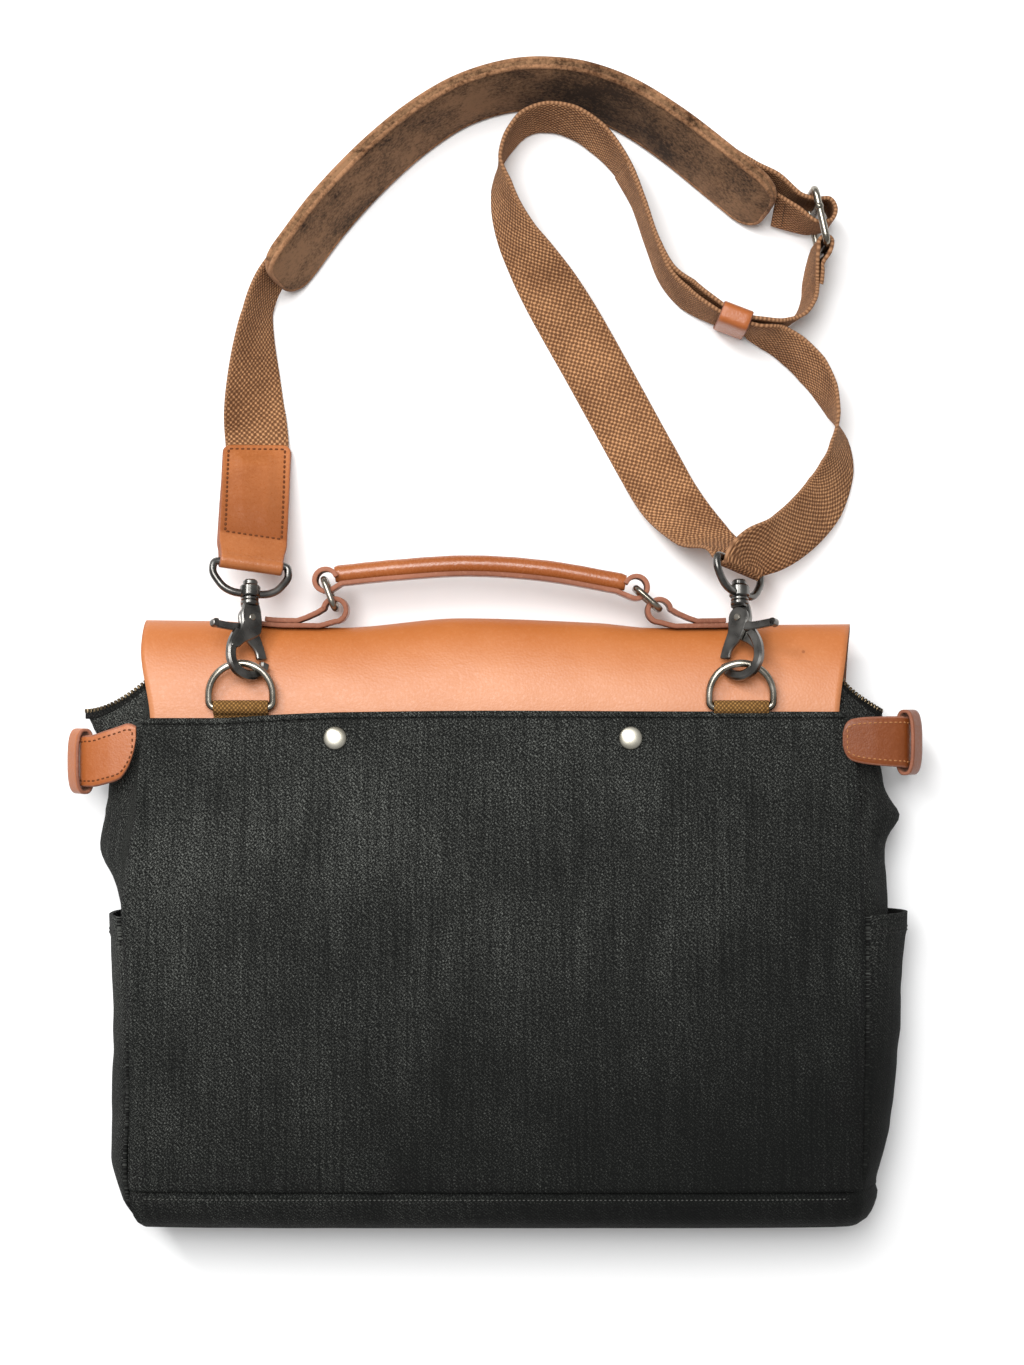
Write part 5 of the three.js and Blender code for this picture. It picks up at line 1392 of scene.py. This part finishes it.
def pad_rows():
    """Centre, edge, face, width, thickness and length along the pad, rounded off at both ends."""
    frames = pad_frames()
    centres = smooth_line([centre for centre, _, _ in frames], PAD_SUBSTEPS)
    lengths = runs(centres)
    rows = []
    for i, (centre, run) in enumerate(zip(centres, lengths)):
        whole = min(i // PAD_SUBSTEPS, len(frames) - 2)
        t = i / PAD_SUBSTEPS - whole
        (_, edge_a, face_a), (_, edge_b, face_b) = frames[whole], frames[whole + 1]
        a, b = PAD_SECTIONS[whole], PAD_SECTIONS[whole + 1]
        past = max(PAD_END - min(run, lengths[-1] - run), 0)
        width = a[5] + (b[5] - a[5]) * t - 2 * (PAD_END - math.sqrt(PAD_END ** 2 - past ** 2))
        thick = a[6] + (b[6] - a[6]) * t
        edge = edge_a.lerp(edge_b, t).normalized()
        rows.append((centre, edge, face_a.lerp(face_b, t).normalized(), width, thick, run))
    return rows


def add_pad():
    rows = pad_rows()
    rings = []
    for centre, edge, face, width, thick, run in rows:
        ring = []
        for e, f in pad_outline(width / 2, thick / 2):
            loose = max(1 - (2 * e / width) ** 4, 0) * (1 if f > 0 else 0.3)
            puff = 0.6 + 0.9 * ripple(run, e * 0.35, 0, 15, 21) + 0.5 * ripple(run, e, 0, 8, 22)
            ring.append(centre + edge * e + face * (f + math.copysign(loose * puff, f)))
        rings.append(ring)
    piece = put("strap_pad", "pad_cushion", loft(rings), [PAD])
    add_piping(rows)
    return piece


def pad_outline(half_e, half_f):
    """Rounded section of the pad with even points along its faces and rims."""
    corners = rounded_box_outline(half_e, half_f, min(PAD_CORNER, half_f * 0.8), 4)
    outline = []
    for i, (a, b) in enumerate(zip(corners, corners[1:] + corners[:1])):
        parts = PAD_PARTS.get(i, 1)
        for k in range(parts):
            outline.append((a[0] + (b[0] - a[0]) * k / parts, a[1] + (b[1] - a[1]) * k / parts))
    return outline


def add_piping(rows):
    """Bound edges: a cord all round the pad's rim on its face and on its back."""
    def edge_line(side, sign):
        line = []
        for centre, edge, face, width, thick, _ in rows:
            across = edge * (sign * (width / 2 - PIPING_INSET))
            line.append(centre + across + face * (side * (thick / 2 - PIPING_INSET)))
        return line

    loops = [smooth_line(edge_line(side, 1) + edge_line(side, -1)[::-1], 2, True) for side in (1, -1)]
    shape = joined(*(wire(loop, PIPING_RADIUS, 10, True) for loop in loops))
    put(None, "pad_piping", shape, [PIPING])


SLIDER_PLACE = (191.8, 396, 25.2)
SLIDER_TURN = -77.1
SLIDER_HALF = 16.2
SLIDER_HEIGHT = 22.8
SLIDER_BAR = -5.2


def add_slider():
    frame_wire = flat_wire(rounded_box_outline(SLIDER_HALF, SLIDER_HEIGHT, 5, 8), RING_WIRE, 16)
    bar = wire([Vector((SLIDER_BAR, y, 0)) for y in spaced(-SLIDER_HEIGHT, SLIDER_HEIGHT, 4)], 2, 16)
    collars = []
    for side in (1, -1):
        line = [Vector((SLIDER_BAR, side * SLIDER_HEIGHT + d, 0)) for d in spaced(-2.8, 2.8, 10)]
        collars.append(wire(line, lambda t: 2.7 * math.sqrt(1.02 - (2 * t - 1) ** 2), 16))
    shape = placed(joined(frame_wire, bar, *collars), standing(SLIDER_TURN, SLIDER_PLACE))
    return put("strap_slider", "slider_wire", shape, [NICKEL], 50)


STRAP_KEEPER_PLACE = (142, 337.1, 23.2)
STRAP_KEEPER_TURN = 159
STRAP_KEEPER_INSIDE = 41
STRAP_KEEPER_ROOM = 10.6
STRAP_KEEPER_BAND = 18.5
STRAP_KEEPER_SQUARENESS = 4.5


def add_strap_keeper():
    up = Vector((0, 0, 1))
    along = level_direction(STRAP_KEEPER_TURN)
    matrix = axes(up.cross(along), up, along, STRAP_KEEPER_PLACE)
    shape = leather_loop(STRAP_KEEPER_ROOM, STRAP_KEEPER_INSIDE, STRAP_KEEPER_BAND, STRAP_KEEPER_SQUARENESS)
    loop = placed(shape, matrix)
    # The strap keeper takes the side tabs' lighter, painted-light tone.
    return put("strap_keeper", "strap_keeper_leather", loop, [TAB_PAINTED_LIGHT, EDGE, FLESH])


# Leather end of the strap: folded round the left eye's bar, in a frame with Y along its length
END_SLOPE = -30.5
END_WIDTH = 41
END_FOLD_WIDTH = 37.4
END_LENGTH = 83
END_PLY = 2.4
END_STITCHES = (18, 80)
END_STITCH_INSET = 3.6
END_CORNER = 4.5
END_PUFF = 2.6


def end_matrix():
    slope = math.radians(END_SLOPE)
    normal = Vector((0, math.sin(slope), -math.cos(slope)))
    length = Vector((0, math.cos(slope), math.sin(slope)))
    return axes(normal, length, Vector((1, 0, 0)), hook_matrix("left", 0) @ Vector((0, EYE_BAR, 0)))


def add_end_tab():
    reach = EYE_WIRE + 0.4 + LEATHER / 2
    half = END_WIDTH / 2 - END_STITCH_INSET
    first, last = END_STITCHES
    rounded = END_LENGTH - END_CORNER
    line = [Vector((-END_PLY, y, 0)) for y in spaced(END_LENGTH, rounded, 8)[:-1] + spaced(rounded, 8, 44)]
    top_rows = len(line)
    for t in spaced(-0.5, math.pi + 0.5, 18):
        line.append(Vector((-reach * math.cos(t), -reach * math.sin(t), 0)))
    line += [Vector((END_PLY, y, 0)) for y in spaced(8, END_LENGTH - 1, 20)]
    frames = line_frames(line, Vector((0, 0, 1)))
    widths = []
    for i, (centre, _, _) in enumerate(frames):
        full = END_FOLD_WIDTH + (END_WIDTH - END_FOLD_WIDTH) * step_up(centre.y, 3, 14)
        past = max(centre.y - rounded, 0) if i < top_rows else 0
        widths.append(full - 2 * (END_CORNER - math.sqrt(max(END_CORNER ** 2 - past ** 2, 0))))

    def puffed(run, e):
        y = END_LENGTH - run
        within = step_up(half - abs(e), 0, 11) * step_up(y, first, first + 22)
        dip = math.exp(-((half - abs(e)) / 0.9) ** 2) if first < y < last else 0
        return END_PUFF * within * step_up(last - y, 0, 14) - 0.4 * dip

    def twisted(p):
        turn = math.radians(EYE_ROLL["left"]) * (1 - step_up(p.y, 20, END_LENGTH + 10))
        cosine, sine = math.cos(turn), math.sin(turn)
        return Vector((p.x * cosine + p.z * sine, p.y, p.z * cosine - p.x * sine))

    matrix = end_matrix()
    points, faces, uvs, kinds = band(frames, widths, LEATHER, 0.6, 32, relief=puffed)
    shape = placed(([twisted(p) for p in points], faces, uvs, kinds), matrix)
    piece = put("strap_end_tab", "end_leather", shape, [END_LEATHER, EDGE, FLESH])
    corners = [(first, -half), (last, -half), (last, half), (first, half), (first, -half)]
    up = matrix.to_3x3() @ Vector((-1, 0, 0))
    top = -END_PLY - LEATHER / 2
    lines = []
    for (ay, az), (by, bz) in zip(corners, corners[1:]):
        row = [Vector((top, ay + (by - ay) * t, az + (bz - az) * t)) for t in spaced(0, 1, 10)]
        lines.append([(matrix @ twisted(p), up) for p in row])
    add_stitches("trim_leather", "end_stitches", BROWN_THREAD, lines, *END_STITCH)
    return piece


# Stage, in metres: a white floor, white surroundings, and lights with their places, sizes and powers
FLOOR_REACH = 6
FLOOR_WHITE = (0.94, 0.94, 0.94, 1)
SURROUNDINGS = 0.36
LIGHTS = [("overhead", (-0.3, 0.8, 2.5), 1.4, 75), ("key", (-1.2, 1.5, 1.8), 0.6, 24)]
LIGHTS_AIM = (0, 0.1, 0)


def add_stage():
    scene = bpy.context.scene
    scene.view_settings.view_transform = "Standard"
    mesh = bpy.data.meshes.new("floor")
    corners = [(x * FLOOR_REACH, y * FLOOR_REACH, 0) for x, y in ((-1, -1), (1, -1), (1, 1), (-1, 1))]
    mesh.from_pydata(corners, [], [(0, 1, 2, 3)])
    white = Shader("floor_white", Roughness=1.0, Specular_IOR_Level=0.0, Base_Color=FLOOR_WHITE)
    mesh.materials.append(white.material)
    floor = bpy.data.objects.new("floor", mesh)
    scene.collection.objects.link(floor)
    world = bpy.data.worlds.new("studio")
    world.use_nodes = True
    background = world.node_tree.nodes["Background"]
    background.inputs["Color"].default_value = (1, 1, 1, 1)
    background.inputs["Strength"].default_value = SURROUNDINGS
    scene.world = world
    for name, place, size, power in LIGHTS:
        data = bpy.data.lights.new(name, "AREA")
        data.size = size
        data.energy = power
        light = bpy.data.objects.new(name, data)
        light.location = place
        aim = Vector(LIGHTS_AIM) - Vector(place)
        light.rotation_euler = aim.to_track_quat("-Z", "Y").to_euler()
        scene.collection.objects.link(light)


add_camera()
add_stage()
add_strap()
add_body()
add_panel()
add_rivets()
add_flap()
add_pockets()
add_side_tabs()
add_hooks()
add_handle()
